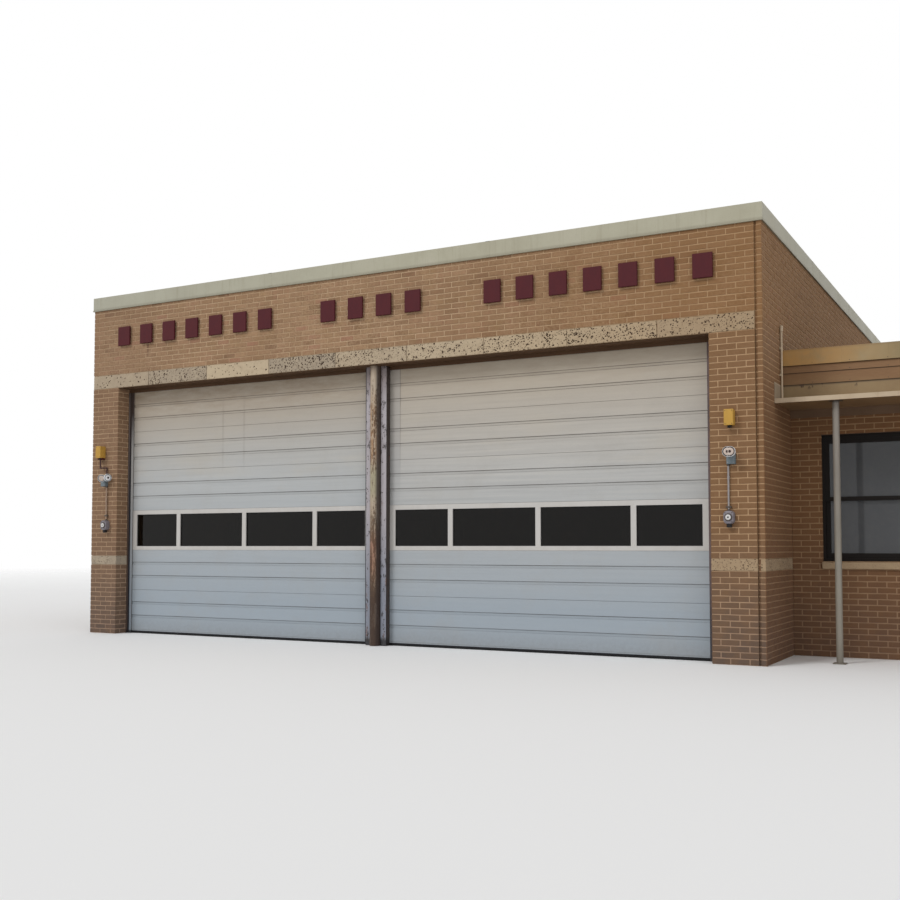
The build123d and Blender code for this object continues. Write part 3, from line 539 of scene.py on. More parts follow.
def edge_metal_look():
    """The sheet metal roof edge: pale paint with runs of dirt and a painted shadow along the drip lip."""
    k = Look("edge_metal")
    cloud = k.noise(1.6, 5, 0.6)
    k.colour = k.ramp(cloud, (0.3, 158, 153, 132), (0.5, 165, 161, 140), (0.72, 171, 166, 147))
    k.lay((158, 160, 150), k.x, -2, -8.4, 0.35)
    k.lay((132, 124, 102), k.noise(3, 5, 0.7, (6, 6, 0.3)), 0.52, 0.75, 0.4)
    k.lay((120, 110, 88), k.noise(90, 3, 0.6), 0.62, 0.72, 0.3)
    # Painted shadow along the drip lip at the bottom
    k.lay((96, 88, 72), k.z, EDGE_BOTTOM + 0.045, EDGE_BOTTOM + 0.015, 0.35)
    k.finish(k.range(cloud, 0.3, 0.7, 0.58, 0.42), k.noise(2.4, 2), 0.004)


def steel_look(name, front, front_high, side, rust_share, dark_edges=0):
    """Painted steel whose front keeps its pale paint, while the other faces are dark: partly rust, partly
    painted shade.
    """
    k = Look(name)
    cloud = k.noise(8, 6, 0.7, (1, 1, 0.3))
    fine = k.noise(60, 5, 0.7, (1, 1, 0.6))
    k.colour = k.mix(k.range(k.z, 0.8, 1.8), front, front_high)
    k.lay((112, 104, 102), cloud, 0.5, 0.7, 0.45)
    k.lay((96, 78, 70), k.z, 3.25, 3.6, 0.65)
    # Painted shade: faces that do not face the front take the darker side colour
    k.colour = k.mix(k.facing((0, -1, 0)), side, k.colour)
    share = k.plus(k.times(cloud, 0.8), k.times(fine, 0.25), k.range(k.z, 0, 2.4, -0.04, 0.04))
    edge = k.range(share, rust_share, rust_share + 0.05, 0.9)
    k.lay(k.ramp(fine, (0.25, 50, 32, 26), (0.5, 92, 56, 40), (0.75, 132, 84, 54)), edge)
    k.lay((26, 23, 23), k.z, 0.13, 0.07, 0.92)
    if dark_edges:
        k.lay((42, 34, 32), k.noise(24, 5, 0.7, (1, 1, 0.5)), 0.56, 0.6, dark_edges)
    relief = k.plus(k.times(edge, -0.6), k.times(fine, 0.5))
    k.finish(k.range(edge, 0, 1, 0.85, 0.45), relief, 0.0012)


def pier_jamb_look():
    """The angles on the piers: navy on the left, its outer part in the door's paint, and dark brown towards
    its top, a painted shadow; plum on the right.
    """
    k = Look("side_steel")
    # Navy turning dark brown towards the top: painted shadow
    left = k.mix(k.range(k.z, 2.2, 3.4), (36, 39, 48), (50, 39, 33))
    right = k.mix(k.range(k.z, 0.2, 1.2), (50, 45, 49), (96, 77, 75))
    k.colour = k.mix(k.range(k.x, -4, -3.9), left, right)
    k.lay((34, 28, 30), k.noise(8, 6, 0.7, (1, 1, 0.3)), 0.5, 0.7, 0.5)
    painted_from = OPENING_LEFT + LEFT_ANGLE
    # The door-paint strip fades out towards the top, into the painted shadow
    outer = k.times(k.range(k.x, painted_from, painted_from + 0.002), k.range(k.x, -4, -4.1),
                    k.range(k.z, 3.4, 2.8))
    k.lay(k.mix(k.range(k.z, 0.5, 2.3), (147, 158, 168), (168, 168, 166)), outer)
    k.lay(k.mix(k.range(k.z, 1.5, 2.6), (84, 65, 52), (110, 98, 92)), k.facing((1, 0, 0)))
    k.lay((28, 26, 27), k.z, 0.05, 0.03, 0.9)
    k.finish(0.6, k.noise(60, 5, 0.7), 0.0008)


def pipe_look():
    """Old cream paint on the column: brown patches that run down it, a red stretch, a dark foot, and painted
    shade down its right and rear side.
    """
    k = Look("rusty_pipe")
    z = k.z
    runs = k.noise(7, 6, 0.7, (1.6, 1.6, 0.16))
    fine = k.noise(46, 5, 0.7, (1, 1, 0.5))
    k.colour = k.ramp(runs, (0.32, 148, 128, 106), (0.5, 172, 156, 136), (0.7, 182, 168, 148))
    k.lay((150, 110, 70), k.times(k.line(z, 2.85, 0.3, 0.3, 0.8), k.range(fine, 0.35, 0.55)))
    k.lay((146, 144, 114), k.line(z, 2.2, 0.12, 0.18, 0.6))
    k.lay((116, 88, 60), z, 1.9, 0.7, 0.65)
    k.lay((140, 90, 68), k.times(k.line(z, 1.2, 0.15, 0.25, 0.8), k.range(runs, 0.3, 0.5)))
    share = k.plus(k.times(runs, 0.8), k.times(fine, 0.3), k.range(z, 0.2, 2.6, -0.01, 0.16))
    brown = k.range(share, 0.58, 0.63, 0.85)
    k.lay(k.ramp(fine, (0.3, 50, 33, 24), (0.55, 78, 54, 34), (0.75, 108, 76, 48)), brown)
    # Painted shade on the side that faces right and to the rear
    k.lay((46, 34, 28), k.times(k.facing((0.8, 0.6, 0), -0.22, 0.28), 0.92))
    k.lay((50, 35, 28), k.plus(z, k.times(k.noise(5, 4, 0.6), 0.5)), 1.3, 0.75, 0.75)
    k.lay((86, 68, 52), z, 3.6, 3.76, 0.6)
    relief = k.plus(k.times(brown, -0.6), k.times(fine, 0.5))
    k.finish(k.range(brown, 0, 1, 0.85, 0.5), relief, 0.0014)


def metal_look(name, colour, roughness=0.45, dull=0.3):
    """Bare metal with a dull, cloudy oxide."""
    k = Look(name, colour)
    cloud = k.noise(40, 5, 0.65)
    k.lay((112, 106, 100), cloud, 0.4, 0.7, dull)
    rough = k.range(cloud, 0.3, 0.7, roughness + 0.15, roughness - 0.1)
    k.finish(rough, k.noise(300), 0.0003, Metallic=0.6)


def conduit_look():
    """Conduits: tan and dusty on the left pier, with a dark maroon feed; bare zinc on the right one."""
    k = Look("conduit_metal", (150, 144, 144))
    k.lay((108, 102, 98), k.noise(40, 5, 0.65), 0.4, 0.7, 0.4)
    left = k.range(k.x, -4, -4.1)
    k.lay((152, 124, 100), k.times(left, 0.8))
    k.lay((62, 36, 34), k.times(left, k.range(k.z, 2.36, 2.37)))
    k.finish(0.5, k.noise(300), 0.0003, Specular_IOR_Level=0.3)


def glass_look(name, dark, dusty, dust_share, ior, clear):
    """Tinted glass with a little dust."""
    k = Look(name, dark)
    dust = k.noise(12, 6, 0.7)
    k.lay(dusty, dust, 0.45, 0.8, dust_share)
    k.finish(k.range(dust, 0.4, 0.8, 0.1, 0.02), Transmission_Weight=clear, IOR=ior)


def rubber_look():
    k = Look("seal_rubber")
    grit = k.noise(90, 5, 0.7)
    k.colour = k.ramp(grit, (0.35, 18, 18, 20), (0.6, 28, 28, 30), (0.8, 58, 55, 52))
    k.finish(0.75, grit, 0.0008, Specular_IOR_Level=0.25)


def concrete_look():
    k = Look("concrete")
    k.colour = k.ramp(k.noise(2.5, 6, 0.7), (0.3, 118, 116, 110), (0.5, 139, 137, 130), (0.75, 154, 151, 143))
    grit = k.noise(260, 4, 0.7)
    k.lay((96, 92, 86), grit, 0.58, 0.75, 0.4)
    k.finish(0.8, grit, 0.001)


def roofing_look():
    """Mineral felt: grit, a lap each metre and old puddle marks."""
    k = Look("roofing")
    grit = k.noise(380, 3, 0.7)
    k.colour = k.ramp(grit, (0.3, 96, 94, 90), (0.5, 124, 121, 115), (0.72, 150, 147, 140))
    k.lay((92, 86, 78), k.noise(0.55, 5, 0.6), 0.5, 0.62, 0.4)
    k.lay((60, 58, 56), k.line(k.math("FRACT", k.y), 0.5, 0.001, 0.006, 0.7))
    k.finish(0.95, grit, 0.002)


def painted_joint_shadows(k, reach, strength):
    """Painted shadow in a thin band under each board joint of the wing's roof edge."""
    bands = [k.times(k.range(k.z, height - reach, height - 0.004, strength),
                     k.range(k.z, height + 0.001, height)) for height in WING_JOINTS]
    return reduce(lambda a, b: k.math("MAXIMUM", a, b), bands)


def board_look():
    """Painted board with grain along its length, scuffs and painted shadow below each joint."""
    k = Look("brown_board", (130, 97, 64))
    grain = k.noise(6, 6, 0.7, (1.2, 1.2, 26))
    k.lay((106, 74, 46), grain, 0.42, 0.68, 0.5)
    k.lay((142, 116, 80), k.noise(2.2, 5, 0.65, (0.6, 0.6, 1.6)), 0.5, 0.7, 0.4)
    # Painted shadow under the joints
    k.lay((50, 35, 24), painted_joint_shadows(k, 0.015, 0.7))
    k.finish(0.7, grain, 0.001)


def coping_look():
    """The wing's sheet coping: olive-cream paint, with a painted patch of sunlight in ochre towards the
    corner by the side wall.
    """
    k = Look("wing_coping_paint")
    k.colour = k.ramp(k.noise(2.2, 5, 0.6), (0.3, 128, 112, 78), (0.5, 138, 122, 88), (0.75, 148, 136, 106))
    # Painted sunlight: ochre towards the corner by the side wall
    corner = k.range(k.x, BAY_RIGHT + 1.4, BAY_RIGHT + 0.3, 0.9)
    k.lay((176, 132, 72), k.times(corner, k.range(k.noise(4, 4, 0.6), 0.25, 0.5, 1, 0.4)))
    k.lay((110, 88, 60), k.z, WING_JOINTS[0] + 0.16, WING_JOINTS[0] + 0.19, 0.4)
    k.lay((112, 92, 64), k.noise(3, 5, 0.7, (6, 6, 0.4)), 0.55, 0.75, 0.4)
    k.finish(0.5, k.noise(3, 2), 0.003)


def frieze_look():
    """Frieze board, with a painted shadow under the boards; the flashing on the side wall is greyer, with a
    painted highlight along its top edge.
    """
    k = Look("frieze_paint", (144, 122, 88))
    top = WING_JOINTS[2]
    k.lay((124, 98, 66), k.noise(3, 5, 0.65), 0.4, 0.7, 0.5)
    plate = k.range(k.x, BAY_RIGHT + 0.012, BAY_RIGHT + 0.008)
    k.lay((150, 134, 114), plate)
    # Painted highlight along the top edge of the flashing
    k.lay((196, 176, 150), k.times(plate, k.range(k.z, top - 0.03, top - 0.02)))
    # Painted shadow under the joints
    k.lay((50, 36, 26), painted_joint_shadows(k, 0.026, 0.8))
    spots = k.range(k.noise(9, 3, 0.6, (1, 1, 0.5)), 0.62, 0.66, 0.8)
    k.lay((60, 42, 32), k.times(spots, k.range(k.z, top - 0.07, top - 0.03)))
    k.finish(0.6, k.noise(30, 4), 0.001)


def canopy_look():
    """Pale paint on the canopy's edge and top, with painted shade making it dark brown below."""
    k = Look("canopy_paint", (183, 164, 138))
    cloud = k.noise(4, 5, 0.65)
    k.lay((160, 138, 110), cloud, 0.42, 0.72, 0.4)
    k.lay((128, 106, 80), k.noise(8, 5, 0.7, (3, 3, 0.5)), 0.56, 0.7, 0.35)
    # Painted shade: the underside is dark brown
    k.lay(k.mix(k.range(cloud, 0.4, 0.7, 0.5), (132, 102, 69), (106, 80, 54)), k.facing((0, 0, -1)))
    k.finish(0.5, k.noise(40, 4), 0.0008)


def post_look():
    """Grey-cream paint on the posts, darker at both ends."""
    k = Look("post_paint", (132, 125, 116))
    k.lay((104, 97, 88), k.noise(9, 6, 0.7, (1, 1, 0.25)), 0.42, 0.7, 0.5)
    k.lay((136, 132, 118), k.z, 2.2, 1.2, 0.35)
    k.lay((46, 36, 28), k.z, CANOPY_LOW.z - 0.03, CANOPY_LOW.z, 0.85)
    k.lay((96, 88, 78), k.z, 0.35, 0, 0.6)
    k.finish(0.5, k.noise(120, 4), 0.0006)


# Paints: colour, worn colour, roughness, size of the clouds, wear and shine
PAINTS = {
    "door_aluminium": ((189, 186, 182), (166, 160, 150), 0.38, 6, 0.3),
    "trim_paint": ((106, 80, 56), (84, 62, 44), 0.6, 4, 0.5),
    # Dark brown painted shade for the door lintel and the undersides of the stone
    "soffit_paint": ((84, 60, 40), (62, 44, 30), 0.6, 3, 0.5, 0.2, (0.4, 1, 3)),
    "maroon_paint": ((72, 20, 27), (92, 40, 42), 0.55, 14, 0.35, 0.2),
    "yellow_paint": ((186, 145, 66), (150, 114, 44), 0.45, 18, 0.35, 0.25),
    "lamp_body": ((226, 226, 228), (176, 174, 172), 0.35, 22, 0.3),
    "lamp_box": ((104, 116, 122), (80, 88, 90), 0.5, 22, 0.35),
    "lamp_lens": ((200, 186, 176), (156, 128, 108), 0.2, 60, 0.7),
    "lamp_lens_centre": ((48, 30, 26), (34, 24, 22), 0.25, 30, 0.3, 0.3),
    "grey_cast": ((120, 114, 120), (92, 86, 90), 0.5, 26, 0.4, 0.5, (1, 1, 0.4), 0.0008),
    "dial_paint": ((206, 204, 202), (172, 168, 166), 0.4, 40, 0.3),
    "black_plastic": ((26, 24, 25), (44, 41, 40), 0.5, 40, 0.3, 0.25),
    "bronze_frame": ((22, 17, 14), (36, 30, 26), 0.5, 10, 0.3, 0.15),
    "lintel_paint": ((72, 52, 34), (54, 38, 26), 0.6, 10, 0.5),
}
for look in (brick_look, mortar_look, stone_look, door_look, rubber_look, concrete_look, roofing_look,
             edge_metal_look, coping_look, frieze_look, board_look, canopy_look, post_look, pipe_look,
             pier_jamb_look, conduit_look):
    look()
metal_look("galvanised", (156, 152, 150))
metal_look("bolt_steel", (70, 62, 58), 0.55, 0.5)
glass_look("clear_glass", (28, 22, 15), (70, 60, 46), 0.25, 1.3, 0.85)
glass_look("window_glass", (108, 110, 113), (128, 128, 124), 0.3, 1.33, 0.5)
# The third colour is the darker side, partly painted shade
steel_look("jamb_paint", (130, 134, 146), (168, 162, 166), (56, 46, 42), 0.61, 0.85)
steel_look("post_steel", (52, 46, 44), (58, 48, 44), (50, 42, 40), 0.62)
for name, look in PAINTS.items():
    painted(name, *look)


# Mesh building

class Build:
    """Faces gathered into one mesh, each point with a tone, a pit depth and a wear."""

    def __init__(self):
        self.points, self.faces, self.slots = [], [], []
        self.tones, self.pits, self.wears = [], [], []

    def add(self, points, faces, slot=0, tone=0.5, pits=None, wear=0.6):
        start, count = len(self.points), len(points)
        self.points += points
        self.faces += [[start + i for i in face] for face in faces]
        self.slots += [slot] * len(faces)
        self.tones += [tone] * count
        self.pits += pits or [0] * count
        self.wears += [wear] * count

    def add_shape(self, shape, slot=0, tone=0.5, under=None):
        """A bmesh, with another slot for its undersides if wanted."""
        shape.verts.index_update()
        start = len(self.slots)
        faces = [[v.index for v in face.verts] for face in shape.faces]
        self.add([v.co.copy() for v in shape.verts], faces, slot, tone)
        for i, face in enumerate(shape.faces):
            if under and face.normal.z < -0.9:
                self.slots[start + i] = under
        shape.free()

    def object(self, name, looks, node=None, smooth=False):
        """Make the piece, which rides on the building and may stand for a CAD node."""
        mesh = bpy.data.meshes.new(name)
        mesh.from_pydata(self.points, [], self.faces)
        for look in looks.split():
            mesh.materials.append(MATERIALS[look])
        mesh.polygons.foreach_set("material_index", self.slots)
        for label, values in (("tone", self.tones), ("pit", self.pits), ("wear", self.wears)):
            mesh.attributes.new(label, "FLOAT", "POINT").data.foreach_set("value", values)
        mesh.update()
        if smooth:
            mesh.shade_smooth()
            mesh.set_sharp_from_angle(angle=radians(SMOOTH_ANGLE))
        piece = linked(name, mesh)
        if node:
            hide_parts(node)
        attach(piece, "root")


def linked(name, data):
    """A new object in the scene."""
    thing = bpy.data.objects.new(name, data)
    bpy.context.scene.collection.objects.link(thing)
    return thing


def box_points(low, high):
    xs, ys, zs = zip(low, high)
    return [Vector((x, y, z)) for z in zs for y in ys for x in xs]


BOX_FACES = [(0, 2, 3, 1), (4, 5, 7, 6), (0, 1, 5, 4), (1, 3, 7, 5), (3, 2, 6, 7), (2, 0, 4, 6)]


def bevelled(build, low, high, bevel, slot=0, segments=2):
    """A box with bevelled edges, added to a build."""
    shape = bmesh.new()
    corners = [shape.verts.new(p) for p in box_points(low, high)]
    for face in BOX_FACES:
        shape.faces.new([corners[i] for i in face])
    bmesh.ops.bevel(shape, geom=shape.edges[:], offset=bevel, segments=segments, affect="EDGES", profile=0.6)
    bmesh.ops.recalc_face_normals(shape, faces=shape.faces[:])
    build.add_shape(shape, slot)


def stacked(build, rings, slot=0):
    """Closed outlines of as many points each, joined in turn and capped at both ends."""
    count = len(rings[0])
    last = (len(rings) - 1) * count
    faces = [(a + i, a + (i + 1) % count, a + count + (i + 1) % count, a + count + i)
             for a in range(0, last, count) for i in range(count)]
    faces += [range(count - 1, -1, -1), range(last, last + count)]
    build.add([p for ring in rings for p in ring], faces, slot)


def turned(build, profile, point, direction=FRONT, slot=0, segments=32):
    """A profile of (radius, height) turned about a direction through a point; upright without one."""
    place = Matrix.Translation(point)
    if direction:
        place = place @ Vector(direction).to_track_quat("Z", "Y").to_matrix().to_4x4()
    angles = [2 * pi * i / segments for i in range(segments)]
    stacked(build, [[place @ Vector((radius * cos(a), radius * sin(a), height)) for a in angles]
                    for radius, height in profile], slot)


def rounded(x, z, y, width, height, corner, steps=8):
    """A rounded rectangle facing the front, as one ring of points."""
    ring = []
    for quarter, (sx, sz) in enumerate(((1, 1), (-1, 1), (-1, -1), (1, -1))):
        for i in range(steps + 1):
            angle = pi / 2 * (quarter + i / steps)
            ring.append(Vector((x + sx * (width / 2 - corner) + corner * cos(angle), y,
                                z + sz * (height / 2 - corner) + corner * sin(angle))))
    return ring


# Wall faces

class Side:
    """A flat wall face: u runs along it, z up, and depth into the wall."""

    def __init__(self, origin, along, length, base, top):
        self.origin, self.along = Vector(origin), Vector(along)
        self.inward = -self.along.cross(UP)
        self.length, self.base, self.top = length, base, top

    def at(self, u, z, depth=0):
        return self.origin + self.along * u + UP * z + self.inward * depth

    def depth(self, point):
        return (point - self.origin).dot(self.inward)

    def area(self, box):
        """A box's (u0, u1, z0, z1) on this side."""
        us = [(corner - self.origin).dot(self.along) for corner in box]
        return min(us), max(us), box[0].z, box[1].z

    def near(self, boxes):
        """The boxes that lie close to this face's plane."""
        return [box for box in boxes
                if min(map(self.depth, box)) < HOLE_REACH and max(map(self.depth, box)) > -HOLE_REACH]

    def jambs(self, box):
        """The two reveals of an opening, as sides that run to and from the wall face."""
        u0, u1, z0, z1 = self.area(box)
        return (Side(self.at(u0, 0), self.inward, REVEAL, z0, z1),
                Side(self.at(u1, 0, REVEAL), -self.inward, REVEAL, z0, z1))


# Each face of a box: whether it starts from the high x and the high y, and its way along
BOX_SIDES = {"front": (0, 0, (1, 0, 0)), "right": (1, 0, (0, 1, 0)),
             "rear": (1, 1, (-1, 0, 0)), "left": (0, 1, (0, -1, 0))}


def box_side(low, high, name):
    """The front, right, rear or left face of a box."""
    high_x, high_y, along = BOX_SIDES[name]
    start = ((low, high)[high_x][0], (low, high)[high_y][1], 0)
    return Side(start, along, abs((high - low).dot(Vector(along))), low[2], high[2])


def node_side(name, *nodes):
    """One face of the box round some nodes."""
    return box_side(*span([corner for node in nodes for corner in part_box(node)]), name)


def cut(rects, holes):
    """What is left of rectangles when holes are taken out."""
    for a0, a1, b0, b1 in holes:
        whole, rects = rects, []
        for u0, u1, z0, z1 in whole:
            if a1 <= u0 or a0 >= u1 or b1 <= z0 or b0 >= z1:
                rects.append((u0, u1, z0, z1))
                continue
            low, high = max(z0, b0), min(z1, b1)
            for part in (u0, a0, low, high), (a1, u1, low, high), (u0, u1, z0, b0), (u0, u1, b1, z1):
                if min(part[1] - part[0], part[3] - part[2]) > SMALLEST_CUT:
                    rects.append(part)
    return rects


def courses(side):
    """The number and the lower and upper edge of the bricks in each course."""
    rows = []
    for course in range(int(side.base / COURSE + 0.01), ceil(side.top / COURSE - 0.01)):
        z0 = max(course * COURSE + JOINT / 2, side.base)
        z1 = min((course + 1) * COURSE - JOINT / 2, side.top)
        if z1 - z0 > SMALLEST_CUT:
            rows.append((course, z0, z1))
    return rows


def running_bond(side, half_first=0, from_end=0):
    """Brick rectangles in courses of running bond."""
    rects = []
    for course, z0, z1 in courses(side):
        start = -PITCH / 2 if (course + half_first) % 2 else 0
        while start < side.length - SMALLEST_CUT:
            u0, u1 = max(start, 0), min(start + PITCH - JOINT, side.length)
            if from_end:
                u0, u1 = side.length - u1, side.length - u0
            if u1 - u0 > SMALLEST_CUT:
                rects.append((u0, u1, z0, z1))
            start += PITCH
    return rects


def single_bricks(side, near=0, far=0):
    """One brick in each course."""
    return [(near, side.length - far, z0, z1) for _, z0, z1 in courses(side)]


BRICK_RINGS = [(i, (i + 1) % 4, 4 + (i + 1) % 4, 4 + i) for i in range(4)]
BRICK_FACES = [(8, 9, 10, 11)] + BRICK_RINGS + [[4 + i for i in ring] for ring in BRICK_RINGS]


def brick_tone():
    """Mostly middling bricks, with some dark and a few red ones."""
    roll = random.random()
    if roll < DARK_BRICKS:
        return random.uniform(0.0, 0.14)
    if roll > RED_BRICKS_FROM:
        return random.uniform(0.93, 1.0)
    return min(0.88, max(0.16, random.gauss(0.48, 0.17)))


def lay_bricks(build, side, rects, lift=0):
    """Bevelled brick faces standing out of the mortar, each a little uneven."""
    for u0, u1, z0, z1 in rects:
        skew = [random.uniform(0, BRICK_DEPTH_JITTER) - lift for _ in range(4)]
        wobble = [random.uniform(-BRICK_EDGE_JITTER, BRICK_EDGE_JITTER) for _ in range(4)]
        corners = [(u0, z0 + wobble[0]), (u1, z0 + wobble[1]), (u1, z1 + wobble[2]), (u0, z1 + wobble[3])]
        back = [side.at(u, z, JOINT_DEPTH + 0.001 - lift) for u, z in corners]
        rim = [side.at(u, z, BRICK_BEVEL + depth) for (u, z), depth in zip(corners, skew)]
        face = [side.at(u + copysign(BRICK_BEVEL, (u0 + u1) / 2 - u),
                        z + copysign(BRICK_BEVEL, (z0 + z1) / 2 - z), depth)
                for (u, z), depth in zip(corners, skew)]
        build.add(back + rim + face, BRICK_FACES, 1, brick_tone())


def recessed(node, sides, recess=JOINT_DEPTH):
    """A node's shape with the given outer faces moved in."""
    shape = bmesh.new()
    shape.from_mesh(mesh_of(node))
    for side in sides:
        for vert in shape.verts:
            if abs(side.depth(vert.co)) < ON_PLANE:
                vert.co += side.inward * recess
    return shape


WINDOWS = solids_of("window_frames")
HOLES = WINDOWS + solids_of("window_sills") + solids_of("stone_course")


def stone_gap(side):
    """Where a pier's stone breaks its bricks."""
    return (0, side.length, STONE_LOW.z, STONE_HIGH.z)


def brick_piece(node, *faces, over=(), covered=(), stone=False):
    """A wall's mortar body with bricks on its faces, each given by its name, half_first and from_end.

    The bricks run on over some more walls, and another wall's bricks run on over the covered faces."""
    sides = [node_side(face[0], node, *over) for face in faces]
    build = Build()
    build.add_shape(recessed(node, sides + [node_side(name, node) for name in covered]))
    for side, (_, half_first, from_end) in zip(sides, faces):
        holes = [*map(side.area, side.near(HOLES))] + [stone_gap(side)] * stone
        lay_bricks(build, side, cut(running_bond(side, half_first, from_end), holes))
        for box in side.near(WINDOWS):
            for jamb in side.jambs(box):
                lay_bricks(build, jamb, single_bricks(jamb, 0, 0.002), REVEAL_LIFT)
    build.object(node + "_bricks", "mortar brick", node)


def right_wall_piece():
    """The side wall: its outer face, with one brick a course on its front edge and in the recess."""
    low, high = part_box("right_wall")
    left = next(a.x for a, b in solids_of("stone_course")
                if b.x > BAY_RIGHT - AT_EDGE and a.y < BAY_FRONT + AT_EDGE)
    recess_y = min(v.co.y for v in mesh_of("right_wall").vertices if v.co.x < left - AT_EDGE)
    outer = node_side("right", "right_wall", "rear_wall")
    edge = box_side(Vector((left, low.y, low.z)), high, "front")
    recess = box_side(Vector((FACE_RIGHT, recess_y, low.z)), Vector((left, high.y, high.z)), "front")
    build = Build()
    build.add_shape(recessed("right_wall", [outer, edge, recess]))
    lay_bricks(build, outer, cut(running_bond(outer), map(outer.area, outer.near(HOLES))))
    lay_bricks(build, edge, cut(single_bricks(edge), [stone_gap(edge)]))
    fill = box_points(recess.at(0, recess.base, -RECESS_FILL), recess.at(recess.length, recess.top, 0.01))
    build.add(fill, BOX_FACES)
    lay_bricks(build, recess, single_bricks(recess, 0.001, 0.001), RECESS_FILL + 0.003)
    build.object("right_wall_bricks", "mortar brick", "right_wall")


brick_piece("left_pier", ("front", 0, 0), ("right", 1, 0), ("left", 1, 1), stone=True)
brick_piece("right_pier", ("front", 0, 0), ("left", 1, 1), ("right", 1, 0), stone=True)
brick_piece("upper_front_wall", ("front", 0, 0), ("left", 1, 1))
brick_piece("left_wall", ("left", 1, 1), over=["rear_wall"])
brick_piece("rear_wall", ("rear", 0, 0), covered=["left", "right"])
right_wall_piece()
brick_piece("wing_front_wall", ("front", 0, 0), covered=["right"])
brick_piece("wing_end_wall", ("right", 1, 0), over=["wing_front_wall", "wing_rear_wall"])
brick_piece("wing_rear_wall", ("rear", 0, 1), covered=["right"])


def window_lintels():
    """A thin steel plate under the bricks over each window."""
    build = Build()
    for node, name in (("wing_front_wall", "front"), ("wing_end_wall", "right"), ("wing_rear_wall", "rear"),
                       ("left_wall", "left"), ("rear_wall", "rear")):
        side = node_side(name, node)
        for u0, u1, _, top in map(side.area, side.near(WINDOWS)):
            bevelled(build, *span([side.at(u0 + LINTEL_INSET, top - LINTEL_PLATE, LINTEL_FRONT),
                                   side.at(u1 - LINTEL_INSET, top, REVEAL - 0.001)]), 0.001)
    build.object("window_lintels", "lintel_paint")


window_lintels()


# Stone blocks

def steps_near(place, reach, step, count):
    """The lines of a grid that lie within reach of a place."""
    return range(max(0, int((place - reach) / step)), min(count, int((place + reach) / step) + 1) + 1)


def pitted(side, rect, columns, rows, strength, size):
    """How deep each point of a grid is pitted, from 0 to 1: slanting holes of many sizes, in clusters."""
    u0, u1, z0, z1 = rect
    step_u, step_z = (u1 - u0) / columns, (z1 - z0) / rows
    pits = [0.0] * ((columns + 1) * (rows + 1))
    small, large = PIT_RADIUS
    for _ in range(int((u1 - u0) * (z1 - z0) * PIT_SHARE * strength)):
        u, z = random.uniform(0, u1 - u0), random.uniform(0, z1 - z0)
        if noise.noise(side.at(u0 + u, z0 + z) * CLUSTER_SCALE) < random.uniform(-0.6, 0.2):
            continue
        radius = size * (small + (large - small) * random.random() ** 1.6)
        slant, squash = random.uniform(0, pi), random.uniform(*PIT_SQUASH)
        reach = radius * PIT_REACH
        for j in steps_near(z, reach, step_z, rows):
            for i in steps_near(u, reach, step_u, columns):
                du, dz = i * step_u - u, j * step_z - z
                along = du * cos(slant) + dz * sin(slant)
                across = (dz * cos(slant) - du * sin(slant)) * squash
                spot = j * (columns + 1) + i
                depth = (PIT_RIM - hypot(along, across) / radius) * PIT_STEEPNESS
                pits[spot] = max(pits[spot], min(1, depth))
    return pits


def lay_block(build, side, rect, cell, block_tone, strength, size):
    """One stone face as a grid, pitted and with worn arrises."""
    u0, u1, z0, z1 = rect
    columns, rows = [max(2, round(length / cell)) for length in (u1 - u0, z1 - z0)]
    across = columns + 1
    points, pits = [], pitted(side, rect, columns, rows, strength, size)
    for here in range(across * (rows + 1)):
        j, i = divmod(here, across)
        spot = side.at(u0 + (u1 - u0) * i / columns, z0 + (z1 - z0) * j / rows)
        depth = pits[here] * PIT_DEPTH + GRAIN_DEPTH * (1 + noise.noise(spot * GRAIN_SCALE))
        if i in (0, columns) or j in (0, rows):
            chip = max(0, noise.noise(spot * CHIP_SCALE) - 0.1)
            depth += ARRIS_WEAR + CHIP_DEPTH * chip
            # Chipped arrises also count as pitted, so they are darkened: partly dirt, partly painted shade
            pits[here] = max(pits[here], 0.12 + 0.5 * chip)
        points.append(spot + side.inward * depth)
    last = across * rows
    faces = [(a, a + 1, a + across + 1, a + across) for a in range(last) if (a + 1) % across]
    rim = [*range(across), *range(columns + across, last + columns, across), *range(last + columns, last, -1),
           *range(last, 0, -across)]
    base, count = len(points), len(rim)
    for i in rim:
        points.append(points[i] + side.inward * (STONE_SKIN + 0.003 - side.depth(points[i])))
        # Block sides in the joints count as half pitted, so they are darkened: partly dirt, partly painted
        # shade in the joint
        pits.append(0.5)
    faces += [(rim[i], base + i, base + (i + 1) % count, rim[(i + 1) % count]) for i in range(count)]
    build.add(points, faces, 1, block_tone, pits, min(1, strength))


def block_rects(side):
    """A run of blocks along a side, with a narrow joint between them."""
    count = max(1, round(side.length / BLOCK))
    width, half = side.length / count, BLOCK_JOINT / 2
    return [(i * width + half, (i + 1) * width - half, side.base + half, side.top - half)
            for i in range(count)]


def stone_piece(name, node, faces, cell=STONE_CELL, looks=(), size=1):
    """A node's stone: its core sunk a little, with pitted blocks on the faces named for each solid."""
    sides = [box_side(*box, face) for box, shown in zip(solids_of(node), faces) for face in shown]
    build = Build()
    # Undersides of the stone core take the dark brown painted shade
    build.add_shape(recessed(node, sides, STONE_SKIN), under=2)
    looks = iter(looks)
    for side in sides:
        for rect in block_rects(side):
            block_tone, strength = next(looks, (random.uniform(0.15, 0.85), random.uniform(0.4, 1.0)))
            lay_block(build, side, rect, cell, block_tone, strength, size)
    build.object(name, "mortar cast_stone soffit_paint", node)


